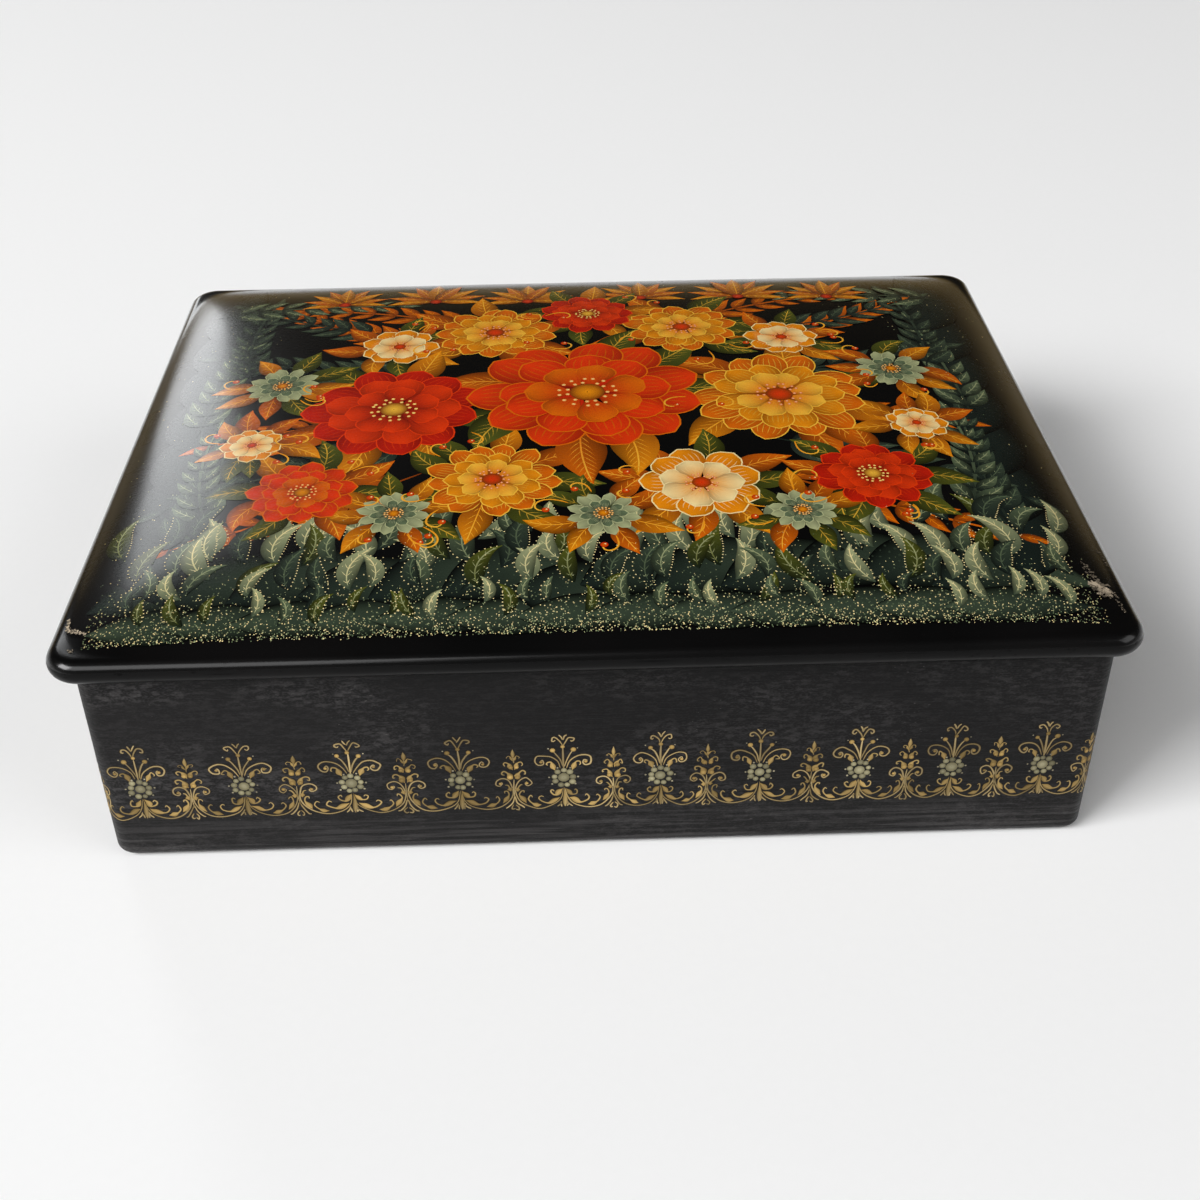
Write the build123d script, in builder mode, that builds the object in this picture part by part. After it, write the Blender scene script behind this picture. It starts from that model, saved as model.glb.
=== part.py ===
"""A papier-mache lacquer box with a low domed lid on two small let-in brass hinges.

Millimetres, +Z up. The origin is at the middle of the underside, the front faces -Y and the
hinges are at the back, +Y.
"""
from build123d import *
from math import cos, exp, radians, sin
import os

# Body sizes
BODY_WIDTH = 192.0
BODY_DEPTH = 152.0
WALL_HEIGHT = 46.0
WALL_THICKNESS = 6.0
BODY_EDGE_RADIUS = 3.5
BASE_EDGE_RADIUS = 2.6
INNER_CORNER_RADIUS = 1.0
BOARD_THICKNESS = 4.0
REBATE_WIDTH = 2.4
REBATE_CORNER_RADIUS = 2.0
BOARD_CORNER_EASE = 0.4

# Collar strips inside the walls
COLLAR_THICKNESS = 2.0
COLLAR_DROP = 11.0
COLLAR_RISE = 2.0
COLLAR_CORNER_BEVEL = 1.2
COLLAR_EDGE_CHAMFER = 0.5
COLLAR_CLEARANCE = 0.4

# Lid sizes
LID_OVERHANG = 4.0
LID_CORNER_RADIUS = 6.5
RIM_THICKNESS = 5.2
EDGE_FLAT = 0.2
SEAM_SLOPE = 30.0
SEAM_SINK = 0.12
FOOT_INSET = 0.5
SHOULDER_RISE = 4.9
SHOULDER_LENGTH = 9.0
CROWN_RISE = 3.0
LID_THICKNESS = 4.0
HOLLOW_CORNER_RADIUS = 3.0
DOME_GRID = 41

# Hinge sizes
HINGE_INSET = 36.0
AXIS_SETBACK = 0.7
PIN_DIAMETER = 1.2
KNUCKLE_DIAMETER = 2.6
KNUCKLE_LENGTH = 8.0
KNUCKLE_COUNT = 3
KNUCKLE_GAP = 0.3
RUNNING_CLEARANCE = 0.05
KNUCKLE_CLEARANCE = 0.4
LEAF_THICKNESS = 0.8
LEAF_SINK = 0.05
LEAF_MARGIN = 1.5
MORTISE_CLEARANCE = 0.1

# Nails of the hinge leaves
NAIL_SHANK_DIAMETER = 1.0
NAIL_HEAD_DIAMETER = 2.0
NAIL_HEAD_DEPTH = 0.5
NAIL_LENGTH = 3.6
NAIL_SPACING = 8.0
NAIL_COUNT = 3
NAIL_CLEARANCE = 0.03

# Sizes that follow from those above
INNER_WIDTH = BODY_WIDTH - 2 * WALL_THICKNESS
INNER_DEPTH = BODY_DEPTH - 2 * WALL_THICKNESS
REBATE_INSET = WALL_THICKNESS - REBATE_WIDTH
LID_WIDTH = BODY_WIDTH + 2 * LID_OVERHANG
LID_DEPTH = BODY_DEPTH + 2 * LID_OVERHANG
EDGE_RADIUS = (RIM_THICKNESS - EDGE_FLAT) / 2
RIM_TOP = WALL_HEIGHT + RIM_THICKNESS
SEAM_INSET = EDGE_RADIUS * (1 - sin(radians(SEAM_SLOPE)))
SEAM_Z = RIM_TOP - EDGE_RADIUS * (1 - cos(radians(SEAM_SLOPE))) - SEAM_SINK
FOOT_WIDTH = LID_WIDTH - 2 * FOOT_INSET
FOOT_DEPTH = LID_DEPTH - 2 * FOOT_INSET
FOOT_Z = SEAM_Z - SHOULDER_RISE * (1 - exp((FOOT_INSET - SEAM_INSET) / SHOULDER_LENGTH))
HINGE_SPACING = BODY_WIDTH - 2 * HINGE_INSET
AXIS_Y = BODY_DEPTH / 2 + AXIS_SETBACK
AXIS_Z = WALL_HEIGHT
KNUCKLE_RADIUS = KNUCKLE_DIAMETER / 2
KNUCKLE_PITCH = KNUCKLE_LENGTH + KNUCKLE_GAP
LEAF_LENGTH = KNUCKLE_COUNT * KNUCKLE_PITCH - KNUCKLE_GAP
LEAF_FRONT_Y = BODY_DEPTH / 2 - WALL_THICKNESS + LEAF_MARGIN
LEAF_BACK_Y = AXIS_Y - KNUCKLE_RADIUS - KNUCKLE_CLEARANCE
NAIL_Y = (LEAF_FRONT_Y + LEAF_BACK_Y) / 2
SINK_DEPTH = LEAF_SINK + LEAF_THICKNESS
HINGE_X = {"left": -HINGE_SPACING / 2, "right": HINGE_SPACING / 2}
NAIL_XS = [
    hinge_x + (i - (NAIL_COUNT - 1) / 2) * NAIL_SPACING
    for hinge_x in HINGE_X.values()
    for i in range(NAIL_COUNT)
]


def dome_height(x, y):
    """Height of the lid's pillow-shaped top over a point of the plan."""
    from_side = 1 - exp(-(FOOT_WIDTH / 2 - abs(x)) / SHOULDER_LENGTH)
    from_end = 1 - exp(-(FOOT_DEPTH / 2 - abs(y)) / SHOULDER_LENGTH)
    crown = (1 - (2 * x / FOOT_WIDTH) ** 2) * (1 - (2 * y / FOOT_DEPTH) ** 2)
    return FOOT_Z + SHOULDER_RISE * from_side * from_end + CROWN_RISE * crown


def leaf_block(hinge_x, low_z, knuckles, pin_bore):
    """One hinge leaf: a flat plate with its own knuckles and room for those of the other leaf."""
    with BuildPart() as leaf:
        with BuildSketch(Plane.XY.offset(low_z)):
            with Locations((hinge_x, (LEAF_FRONT_Y + AXIS_Y) / 2)):
                Rectangle(LEAF_LENGTH, AXIS_Y - LEAF_FRONT_Y)
        extrude(amount=LEAF_THICKNESS)
        for index in range(KNUCKLE_COUNT):
            knuckle_x = hinge_x + (index - (KNUCKLE_COUNT - 1) / 2) * KNUCKLE_PITCH
            if index in knuckles:
                with BuildSketch(Plane.YZ.offset(knuckle_x - KNUCKLE_LENGTH / 2)):
                    with Locations((AXIS_Y, AXIS_Z)):
                        Circle(KNUCKLE_RADIUS)
                extrude(amount=KNUCKLE_LENGTH)
            else:
                with BuildSketch(Plane.XY.offset(low_z)):
                    with Locations((knuckle_x, AXIS_Y)):
                        Rectangle(
                            KNUCKLE_LENGTH + 2 * KNUCKLE_GAP,
                            2 * (AXIS_Y - LEAF_BACK_Y),
                        )
                extrude(amount=LEAF_THICKNESS, mode=Mode.SUBTRACT)
        with BuildSketch(Plane.YZ.offset(hinge_x)):
            with Locations((AXIS_Y, AXIS_Z)):
                Circle(pin_bore / 2)
        extrude(amount=LEAF_LENGTH, both=True, mode=Mode.SUBTRACT)
    return leaf.part


def nail_shape(x, head_z, upward, ease):
    """One countersunk nail standing on its head plane, or the hole that takes it."""
    shank = NAIL_SHANK_DIAMETER / 2 + ease
    head = NAIL_HEAD_DIAMETER / 2 + ease
    turn = 1 if upward else -1
    with BuildPart() as nail:
        with BuildSketch(Plane.XZ.offset(-NAIL_Y)):
            with BuildLine():
                Polyline(
                    (x, head_z),
                    (x + head, head_z),
                    (x + shank, head_z + turn * NAIL_HEAD_DEPTH),
                    (x + shank, head_z + turn * (NAIL_LENGTH + ease)),
                    (x, head_z + turn * (NAIL_LENGTH + ease)),
                    close=True,
                )
            make_face()
        revolve(axis=Axis((x, NAIL_Y, head_z), (0, 0, 1)))
    return nail.part


BODY_HEAD_Z = WALL_HEIGHT - LEAF_SINK
LID_HEAD_Z = WALL_HEIGHT + LEAF_SINK
body_nail_holes = [nail_shape(x, BODY_HEAD_Z, False, NAIL_CLEARANCE) for x in NAIL_XS]
lid_nail_holes = [nail_shape(x, LID_HEAD_Z, True, NAIL_CLEARANCE) for x in NAIL_XS]

# Mortises that take the leaves, and the groove round the knuckles
with BuildPart() as hinge_seats:
    for hinge_x in HINGE_X.values():
        with BuildSketch(Plane.XY.offset(WALL_HEIGHT - SINK_DEPTH)):
            with Locations((hinge_x, (LEAF_FRONT_Y - MORTISE_CLEARANCE + AXIS_Y) / 2)):
                Rectangle(
                    LEAF_LENGTH + 2 * MORTISE_CLEARANCE,
                    AXIS_Y - LEAF_FRONT_Y + MORTISE_CLEARANCE,
                )
        extrude(amount=2 * SINK_DEPTH)
        with BuildSketch(Plane.YZ.offset(hinge_x)):
            with Locations((AXIS_Y, AXIS_Z)):
                Circle(KNUCKLE_RADIUS + KNUCKLE_CLEARANCE)
        extrude(amount=LEAF_LENGTH / 2 + KNUCKLE_GAP, both=True)

# Wall sleeve
with BuildPart() as wall_sleeve:
    with BuildSketch():
        RectangleRounded(BODY_WIDTH, BODY_DEPTH, BODY_EDGE_RADIUS)
    extrude(amount=WALL_HEIGHT)
    fillet(wall_sleeve.faces().sort_by(Axis.Z)[0].edges(), radius=BASE_EDGE_RADIUS)
    with BuildSketch():
        RectangleRounded(INNER_WIDTH, INNER_DEPTH, INNER_CORNER_RADIUS)
    extrude(amount=WALL_HEIGHT, mode=Mode.SUBTRACT)
    with BuildSketch():
        RectangleRounded(
            BODY_WIDTH - 2 * REBATE_INSET,
            BODY_DEPTH - 2 * REBATE_INSET,
            REBATE_CORNER_RADIUS,
        )
    extrude(amount=BOARD_THICKNESS, mode=Mode.SUBTRACT)
    add(hinge_seats.part, mode=Mode.SUBTRACT)
    for hole in body_nail_holes:
        add(hole, mode=Mode.SUBTRACT)
wall_sleeve.part.label = "wall_sleeve"

# Bottom board, glued into the rebate
with BuildPart() as bottom_board:
    with BuildSketch():
        RectangleRounded(
            BODY_WIDTH - 2 * REBATE_INSET,
            BODY_DEPTH - 2 * REBATE_INSET,
            REBATE_CORNER_RADIUS + BOARD_CORNER_EASE,
        )
    extrude(amount=BOARD_THICKNESS)
bottom_board.part.label = "bottom_board"


def collar_strip(outline):
    """A strip glued inside a wall, from its plan outline, with its upper edges eased."""
    with BuildPart() as strip:
        with BuildSketch(Plane.XY.offset(WALL_HEIGHT - COLLAR_DROP)):
            with BuildLine():
                Polyline(*outline, close=True)
            make_face()
        extrude(amount=COLLAR_DROP + COLLAR_RISE)
        chamfer(strip.faces().sort_by(Axis.Z)[-1].edges(), length=COLLAR_EDGE_CHAMFER)
    return strip.part


SIDE_X = INNER_WIDTH / 2
FRONT_Y = -INNER_DEPTH / 2
BACK_Y = INNER_DEPTH / 2 - COLLAR_CORNER_BEVEL
HALF_BEVEL = COLLAR_CORNER_BEVEL / 2

# Front collar, mitred to the side collars
collar_front = collar_strip(
    [
        (COLLAR_CORNER_BEVEL - SIDE_X, FRONT_Y),
        (SIDE_X - COLLAR_CORNER_BEVEL, FRONT_Y),
        (SIDE_X - HALF_BEVEL, FRONT_Y + HALF_BEVEL),
        (SIDE_X - COLLAR_THICKNESS, FRONT_Y + COLLAR_THICKNESS),
        (COLLAR_THICKNESS - SIDE_X, FRONT_Y + COLLAR_THICKNESS),
        (HALF_BEVEL - SIDE_X, FRONT_Y + HALF_BEVEL),
    ]
)
collar_front.label = "collar_front"

# Side collars
side_collars = {}
for side, turn in (("left", -1), ("right", 1)):
    strip = collar_strip(
        [
            (turn * SIDE_X, FRONT_Y + COLLAR_CORNER_BEVEL),
            (turn * SIDE_X, BACK_Y),
            (turn * (SIDE_X - COLLAR_THICKNESS), BACK_Y),
            (turn * (SIDE_X - COLLAR_THICKNESS), FRONT_Y + COLLAR_THICKNESS),
            (turn * (SIDE_X - HALF_BEVEL), FRONT_Y + HALF_BEVEL),
        ]
    )
    strip.label = f"collar_{side}"
    side_collars[side] = strip

# Dome of the lid, a pressed board of even thickness, made a little too wide and then trimmed to
# the seam where it runs into the rounded edge
grid_steps = [i / (DOME_GRID - 1) - 0.5 for i in range(DOME_GRID)]
grid_xs = [FOOT_WIDTH * step for step in grid_steps]
grid_ys = [FOOT_DEPTH * step for step in grid_steps]
dome_points = [[Vector(x, y, dome_height(x, y)) for y in grid_ys] for x in grid_xs]
dome_face = Face.make_surface_from_array_of_points(dome_points, tol=0.01, min_deg=3, max_deg=5)
with BuildPart() as dome:
    extrude(to_extrude=dome_face, amount=LID_THICKNESS, dir=(0, 0, -1))
    with BuildSketch():
        RectangleRounded(
            LID_WIDTH - 2 * SEAM_INSET,
            LID_DEPTH - 2 * SEAM_INSET,
            LID_CORNER_RADIUS - SEAM_INSET,
        )
    extrude(amount=RIM_TOP + SHOULDER_RISE + 2 * CROWN_RISE, mode=Mode.INTERSECT)

# Lid board
with BuildPart() as lid_board:
    with BuildSketch(Plane.XY.offset(WALL_HEIGHT)):
        RectangleRounded(LID_WIDTH, LID_DEPTH, LID_CORNER_RADIUS)
    extrude(amount=RIM_THICKNESS)
    fillet(
        lid_board.faces().sort_by(Axis.Z)[0].edges() + lid_board.faces().sort_by(Axis.Z)[-1].edges(),
        radius=EDGE_RADIUS,
    )
    with BuildSketch(Plane.XY.offset(WALL_HEIGHT)):
        RectangleRounded(
            INNER_WIDTH + 2 * COLLAR_CLEARANCE,
            INNER_DEPTH + 2 * COLLAR_CLEARANCE,
            HOLLOW_CORNER_RADIUS,
        )
    extrude(amount=RIM_THICKNESS, mode=Mode.SUBTRACT)
    add(dome.part)
    add(hinge_seats.part, mode=Mode.SUBTRACT)
    for hole in lid_nail_holes:
        add(hole, mode=Mode.SUBTRACT)
lid_board.part.label = "lid_board"

# Hinge leaves and pins
OUTER_KNUCKLES = [index for index in range(KNUCKLE_COUNT) if index % 2 == 0]
INNER_KNUCKLES = [index for index in range(KNUCKLE_COUNT) if index % 2 == 1]
hinge_pieces = []
for side, hinge_x in HINGE_X.items():
    with BuildPart() as body_leaf:
        add(leaf_block(hinge_x, WALL_HEIGHT - SINK_DEPTH, OUTER_KNUCKLES, PIN_DIAMETER))
        for hole in body_nail_holes:
            add(hole, mode=Mode.SUBTRACT)
    body_leaf.part.label = f"hinge_{side}_body_leaf"
    with BuildPart() as lid_leaf:
        lid_bore = PIN_DIAMETER + 2 * RUNNING_CLEARANCE
        add(leaf_block(hinge_x, WALL_HEIGHT + LEAF_SINK, INNER_KNUCKLES, lid_bore))
        for hole in lid_nail_holes:
            add(hole, mode=Mode.SUBTRACT)
    lid_leaf.part.label = f"hinge_{side}_lid_leaf"
    with BuildPart() as pin:
        with BuildSketch(Plane.YZ.offset(hinge_x)):
            with Locations((AXIS_Y, AXIS_Z)):
                Circle(PIN_DIAMETER / 2)
        extrude(amount=LEAF_LENGTH / 2, both=True)
    pin.part.label = f"hinge_{side}_pin"
    hinge_pieces += [body_leaf.part, lid_leaf.part, pin.part]

# Nails, one group for each half of the hinges
body_leaf_nails = Compound(
    label="body_leaf_nails",
    children=[nail_shape(x, BODY_HEAD_Z, False, 0) for x in NAIL_XS],
)
lid_leaf_nails = Compound(
    label="lid_leaf_nails",
    children=[nail_shape(x, LID_HEAD_Z, True, 0) for x in NAIL_XS],
)

pieces = [
    wall_sleeve.part,
    bottom_board.part,
    collar_front,
    *side_collars.values(),
    lid_board.part,
    *hinge_pieces,
    body_leaf_nails,
    lid_leaf_nails,
]
os.makedirs("parts", exist_ok=True)
for piece in pieces:
    export_step(piece, f"parts/{piece.label}.step")
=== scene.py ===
"""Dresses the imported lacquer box: lacquered walls and lid, a painted lid, a gold frieze, a red inside.

Sizes are in millimetres and turned into metres when a mesh is made. X is the width, the front faces
-Y, the hinges are at +Y and Z is up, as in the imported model.
"""

import logging
import math
from dataclasses import dataclass, field
from enum import Enum, IntEnum
from typing import Sequence

import bpy
import numpy as np
from mathutils import Matrix, Vector


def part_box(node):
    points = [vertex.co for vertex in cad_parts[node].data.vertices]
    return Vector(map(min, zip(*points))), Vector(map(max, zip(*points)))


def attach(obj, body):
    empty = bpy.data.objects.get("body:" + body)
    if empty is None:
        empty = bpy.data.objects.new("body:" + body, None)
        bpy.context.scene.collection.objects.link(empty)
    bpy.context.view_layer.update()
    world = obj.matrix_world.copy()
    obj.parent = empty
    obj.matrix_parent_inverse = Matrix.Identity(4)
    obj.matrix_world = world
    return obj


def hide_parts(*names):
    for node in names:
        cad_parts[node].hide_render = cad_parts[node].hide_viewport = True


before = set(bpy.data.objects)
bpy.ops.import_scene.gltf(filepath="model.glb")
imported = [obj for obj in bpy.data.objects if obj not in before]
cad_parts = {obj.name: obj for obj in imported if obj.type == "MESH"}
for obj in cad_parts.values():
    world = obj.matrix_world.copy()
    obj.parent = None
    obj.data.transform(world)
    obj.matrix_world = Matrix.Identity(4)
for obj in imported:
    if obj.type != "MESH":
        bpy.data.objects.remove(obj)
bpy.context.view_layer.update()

MM = 0.001
PAINT_ATTRIBUTE = "laid_colour"
BAKE_MAP = "OFBake"
Colour = tuple[float, float, float]
Points = Sequence[tuple[float, float]]
log = logging.getLogger("lacquer_box")


class Slot(Enum):
    """A material slot name, which no piece made here is given."""

    BLACK = "black_lacquer"


class Body(Enum):
    """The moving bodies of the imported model."""

    BOX = "box"
    LID = "lid"


class Face(IntEnum):
    """The material numbers of a piece's faces."""

    OUTSIDE = 0
    INSIDE = 1
    RUBBED = 2


def swatch(red: int, green: int, blue: int) -> Colour:
    """A display colour of 0 to 255 a channel, as the linear colour that shaders use."""
    levels = np.array([red, green, blue]) / 255
    linear = np.where(levels <= 0.04045, levels / 12.92, ((levels + 0.055) / 1.055) ** 2.4)
    return tuple(float(level) for level in linear)


# Shader nodes


class Wire:
    """A shader value that takes part in Python expressions, each of which adds a Math node."""

    def __init__(self, shader: "Shader", socket: bpy.types.NodeSocket) -> None:
        """Wraps one output socket of a shader's node."""
        self.shader = shader
        self.socket = socket

    def _maths(self, operation: str, first: "Wire | float", second: "Wire | float" = 0.0) -> "Wire":
        """Adds one Math node.

        Args:
            operation: The node's operation.
            first: Its first value.
            second: Its second value.

        Returns:
            The node's result.
        """
        return self.shader.add("ShaderNodeMath", {"operation": operation}, {0: first, 1: second})

    def __add__(self, other: "Wire | float") -> "Wire":
        """This plus another value."""
        return self._maths("ADD", self, other)

    __radd__ = __add__

    def __sub__(self, other: "Wire | float") -> "Wire":
        """This less another value."""
        return self._maths("SUBTRACT", self, other)

    def __rsub__(self, other: float) -> "Wire":
        """A number less this value."""
        return self._maths("SUBTRACT", other, self)

    def __mul__(self, other: "Wire | float") -> "Wire":
        """This times another value."""
        return self._maths("MULTIPLY", self, other)

    __rmul__ = __mul__

    def power(self, exponent: float) -> "Wire":
        """This value raised to a power."""
        return self._maths("POWER", self, exponent)

    def band(self, low: float, high: float) -> "Wire":
        """A smooth step of this value, zero at low and one at high."""
        return self.shader.add(
            "ShaderNodeMapRange",
            {"interpolation_type": "SMOOTHSTEP"},
            {"Value": self, "From Min": low, "From Max": high},
        )


class Shader:
    """One material's nodes, added through a single method."""

    FACTOR, FIRST, SECOND, RESULT = 0, 6, 7, 2

    def __init__(self, name: str) -> None:
        """Starts an empty material."""
        self.material = bpy.data.materials.new(name)
        self._empty(self.material)

    def _empty(self, owner: bpy.types.Material | bpy.types.World) -> None:
        """Takes up an owner's nodes and clears them."""
        owner.use_nodes = True
        self.nodes = owner.node_tree.nodes
        self.links = owner.node_tree.links
        self.nodes.clear()

    def _end(self, kind: str, output: str, sockets: dict) -> None:
        """Adds the last shader and links it to the output."""
        last = self.add(kind, {}, sockets)
        self.links.new(last.socket, self.nodes.new(output).inputs["Surface"])

    def add(self, kind: str, settings: dict | None = None, sockets: dict | None = None,
            output: str | int = 0) -> Wire:
        """Adds a node.

        Args:
            kind: The node's type.
            settings: Its own options, set before its sockets.
            sockets: Values or wires for its inputs, by name or number.
            output: The output that the wire is taken from.

        Returns:
            The chosen output.
        """
        node = self.nodes.new(kind)
        for name, value in (settings or {}).items():
            setattr(node, name, value)
        for name, value in (sockets or {}).items():
            if isinstance(value, Wire):
                self.links.new(value.socket, node.inputs[name])
            else:
                node.inputs[name].default_value = value
        return Wire(self, node.outputs[output])

    def place(self, stretch: Colour = (1.0, 1.0, 1.0)) -> Wire:
        """The object's own coordinates in metres, stretched along each axis."""
        own = self.add("ShaderNodeTexCoord", output="Object")
        return self.add("ShaderNodeMapping", {}, {"Vector": own, "Scale": stretch})

    def along(self, axis: str) -> Wire:
        """The place along one axis in metres."""
        return self.add("ShaderNodeSeparateXYZ", {}, {0: self.place()}, axis)

    def peel(self) -> Wire:
        """The slow waves and fine brush marks of rubbed-down lacquer, as a normal."""
        waves = self.noise(55.0, 2.0) + 0.07 * self.noise(900.0, 2.0)
        brushed = self.noise(1000.0, 2.0, (0.15, 1.0, 0.3))
        return self.bump(waves + 0.08 * brushed, 0.00012, 0.5)

    def noise(self, scale: float, detail: float = 3.0, stretch: Colour = (1.0, 1.0, 1.0)) -> Wire:
        """Fractal noise over the object's own coordinates.

        Args:
            scale: Its cycles in a metre.
            detail: Its octaves.
            stretch: How far each axis is stretched first.

        Returns:
            A value about one half.
        """
        sockets = {"Vector": self.place(stretch), "Scale": scale, "Detail": detail}
        return self.add("ShaderNodeTexNoise", {}, sockets, "Fac")

    def mix(self, amount: Wire, first: Colour | Wire, second: Colour | Wire, blend: str = "MIX") -> Wire:
        """Two colours mixed.

        Args:
            amount: Zero for the first colour and one for the second.
            first: The colour at zero.
            second: The colour at one.
            blend: The mixing mode.

        Returns:
            The mixed colour.
        """
        sockets = {self.FACTOR: amount}
        for number, colour in ((self.FIRST, first), (self.SECOND, second)):
            sockets[number] = colour if isinstance(colour, Wire) else (*colour, 1.0)
        return self.add("ShaderNodeMix", {"data_type": "RGBA", "blend_type": blend}, sockets, self.RESULT)

    def bump(self, height: Wire, distance: float, strength: float = 1.0) -> Wire:
        """A normal from a height field, with its distance in metres."""
        sockets = {"Height": height, "Distance": distance, "Strength": strength}
        return self.add("ShaderNodeBump", {}, sockets)

    def close(self, sockets: dict) -> bpy.types.Material:
        """Ends the material with a principled shader.

        Args:
            sockets: Values or wires for the shader's inputs.

        Returns:
            The finished material.
        """
        self._end("ShaderNodeBsdfPrincipled", "ShaderNodeOutputMaterial", sockets)
        return self.material


class Sky(Shader):
    """The world's nodes, added in the same way."""

    def __init__(self, name: str) -> None:
        """Starts an empty world."""
        self.world = bpy.data.worlds.new(name)
        self._empty(self.world)

    def heading(self) -> tuple[Wire, Wire]:
        """How far the direction that is looked in leads back, and how far up."""
        way = self.add("ShaderNodeTexCoord", output="Generated")
        return tuple(self.add("ShaderNodeSeparateXYZ", {}, {0: way}, axis) for axis in "YZ")

    def close(self, sockets: dict) -> bpy.types.World:
        """Ends the world with a background.

        Args:
            sockets: Values or wires for the background's inputs.

        Returns:
            The finished world.
        """
        self._end("ShaderNodeBackground", "ShaderNodeOutputWorld", sockets)
        return self.world


# Finishes


@dataclass(frozen=True)
class GlossLacquer:
    """Deep polished black lacquer, as on the lid."""

    colour: Colour = swatch(4, 4, 4)
    bloom: Colour = swatch(9, 8, 8)
    roughness: float = 0.26
    specular: float = 0.04
    coat: float = 0.95
    coat_index: float = 1.36
    coat_roughness: float = 0.17

    def build(self, name: str) -> bpy.types.Material:
        """Makes the material: cloudy depth, hairline scratches and a faint orange peel."""
        shader = Shader(name)
        cloud = shader.noise(22.0).band(0.35, 0.75)
        hairs = shader.noise(900.0, 2.0, (0.06, 1.0, 1.0)).band(0.62, 0.72)
        cross = shader.noise(760.0, 2.0, (1.0, 0.07, 1.0)).band(0.64, 0.73)
        scratches = (hairs + cross) * shader.noise(14.0).band(0.5, 0.7)
        return shader.close({
            "Base Color": shader.mix(cloud, self.colour, self.bloom),
            "Roughness": self.roughness + 0.10 * scratches + 0.06 * cloud,
            "Specular IOR Level": self.specular,
            "Coat Weight": self.coat - 0.4 * scratches,
            "Coat Roughness": self.coat_roughness,
            "Coat IOR": self.coat_index,
            "Normal": shader.peel(),
        })


@dataclass(frozen=True)
class SatinLacquer:
    """Brushed satin black lacquer, as on the walls, rubbed in wisps, paler at the foot and paler towards
    the left end.
    """

    colour: Colour = swatch(8, 8, 8)
    rubbed: Colour = swatch(72, 70, 70)
    scuff: Colour = swatch(96, 93, 92)
    roughness: float = 0.42
    specular: float = 0.10
    coat: float = 0.06
    coat_roughness: float = 0.25
    foot: tuple[float, float] = (0.004, 0.013)
    # the X range, in metres, over which every wall turns paler and more flecked towards the left end
    left_paling: tuple[float, float] = (-0.095, 0.02)

    def build(self, name: str) -> bpy.types.Material:
        """Makes the material from noise drawn out along the walls."""
        shader = Shader(name)
        wisps = shader.noise(1300.0, 6.0, (0.4, 0.4, 1.0)).band(0.46, 0.66)
        grain = shader.noise(3600.0, 2.0, (0.5, 0.5, 1.0)).band(0.45, 0.70)
        lines = shader.noise(1300.0, 4.0, (0.035, 0.035, 1.0)).band(0.46, 0.64)
        patches = shader.noise(60.0, 4.0, (0.5, 0.5, 1.2)).band(0.40, 0.66)
        foot = 1.0 - shader.along("Z").band(*self.foot)
        # paler and more flecked towards the left end of the box, on every wall
        left_paling = 1.0 - shader.along("X").band(*self.left_paling)
        scuffs = shader.noise(2400.0, 4.0, (0.4, 0.4, 1.0)).band(0.66, 0.76)
        scuffs = scuffs * shader.noise(70.0, 3.0).band(0.52, 0.66)
        flecks = (0.2 + 0.8 * patches) * (0.45 * wisps + 0.3 * grain)
        worn = 0.05 + 0.07 * left_paling + (0.6 + 0.6 * left_paling) * flecks + foot * (0.02 + 0.4 * lines)
        tone = shader.mix(worn, self.colour, self.rubbed)
        return shader.close({
            "Base Color": shader.mix(scuffs, tone, self.scuff),
            "Roughness": self.roughness + 0.14 * wisps + 0.12 * scuffs,
            "Specular IOR Level": self.specular,
            "Coat Weight": self.coat - 0.03 * scuffs,
            "Coat Roughness": self.coat_roughness,
            "Normal": shader.bump(lines + 0.6 * wisps + 0.4 * grain, 0.00005, 0.7),
        })


@dataclass(frozen=True)
class RedLacquer:
    """Satin cinnabar lacquer of the inside."""

    colour: Colour = swatch(150, 24, 16)
    deep: Colour = swatch(104, 14, 12)
    roughness: float = 0.34
    coat: float = 0.45
    coat_roughness: float = 0.16

    def build(self, name: str) -> bpy.types.Material:
        """Makes the material: brushed, a little cloudy and darker where it is thick."""
        shader = Shader(name)
        strokes = shader.noise(260.0, 3.0, (0.12, 1.0, 1.0))
        cloud = shader.noise(28.0, 3.0).band(0.35, 0.7)
        return shader.close({
            "Base Color": shader.mix(cloud * 0.35 + strokes * 0.3, self.colour, self.deep),
            "Roughness": self.roughness + 0.12 * strokes,
            "Coat Weight": self.coat - 0.2 * cloud,
            "Coat Roughness": self.coat_roughness,
            "Normal": shader.bump(strokes, 0.00005, 0.5),
        })


@dataclass(frozen=True)
class DulledBrass:
    """Drawn brass that has gone a little brown."""

    colour: Colour = swatch(206, 170, 104)
    tarnish: Colour = swatch(120, 86, 44)
    roughness: float = 0.24

    def build(self, name: str) -> bpy.types.Material:
        """Makes the material: fine draw lines and patches of tarnish."""
        shader = Shader(name)
        lines = shader.noise(2400.0, 2.0, (0.04, 1.0, 1.0))
        patches = shader.noise(240.0, 4.0).band(0.45, 0.7)
        return shader.close({
            "Base Color": shader.mix(patches * 0.7, self.colour, self.tarnish),
            "Metallic": 1.0,
            "Roughness": self.roughness + 0.14 * lines + 0.2 * patches,
            "Normal": shader.bump(lines, 0.00002, 0.4),
        })


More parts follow.
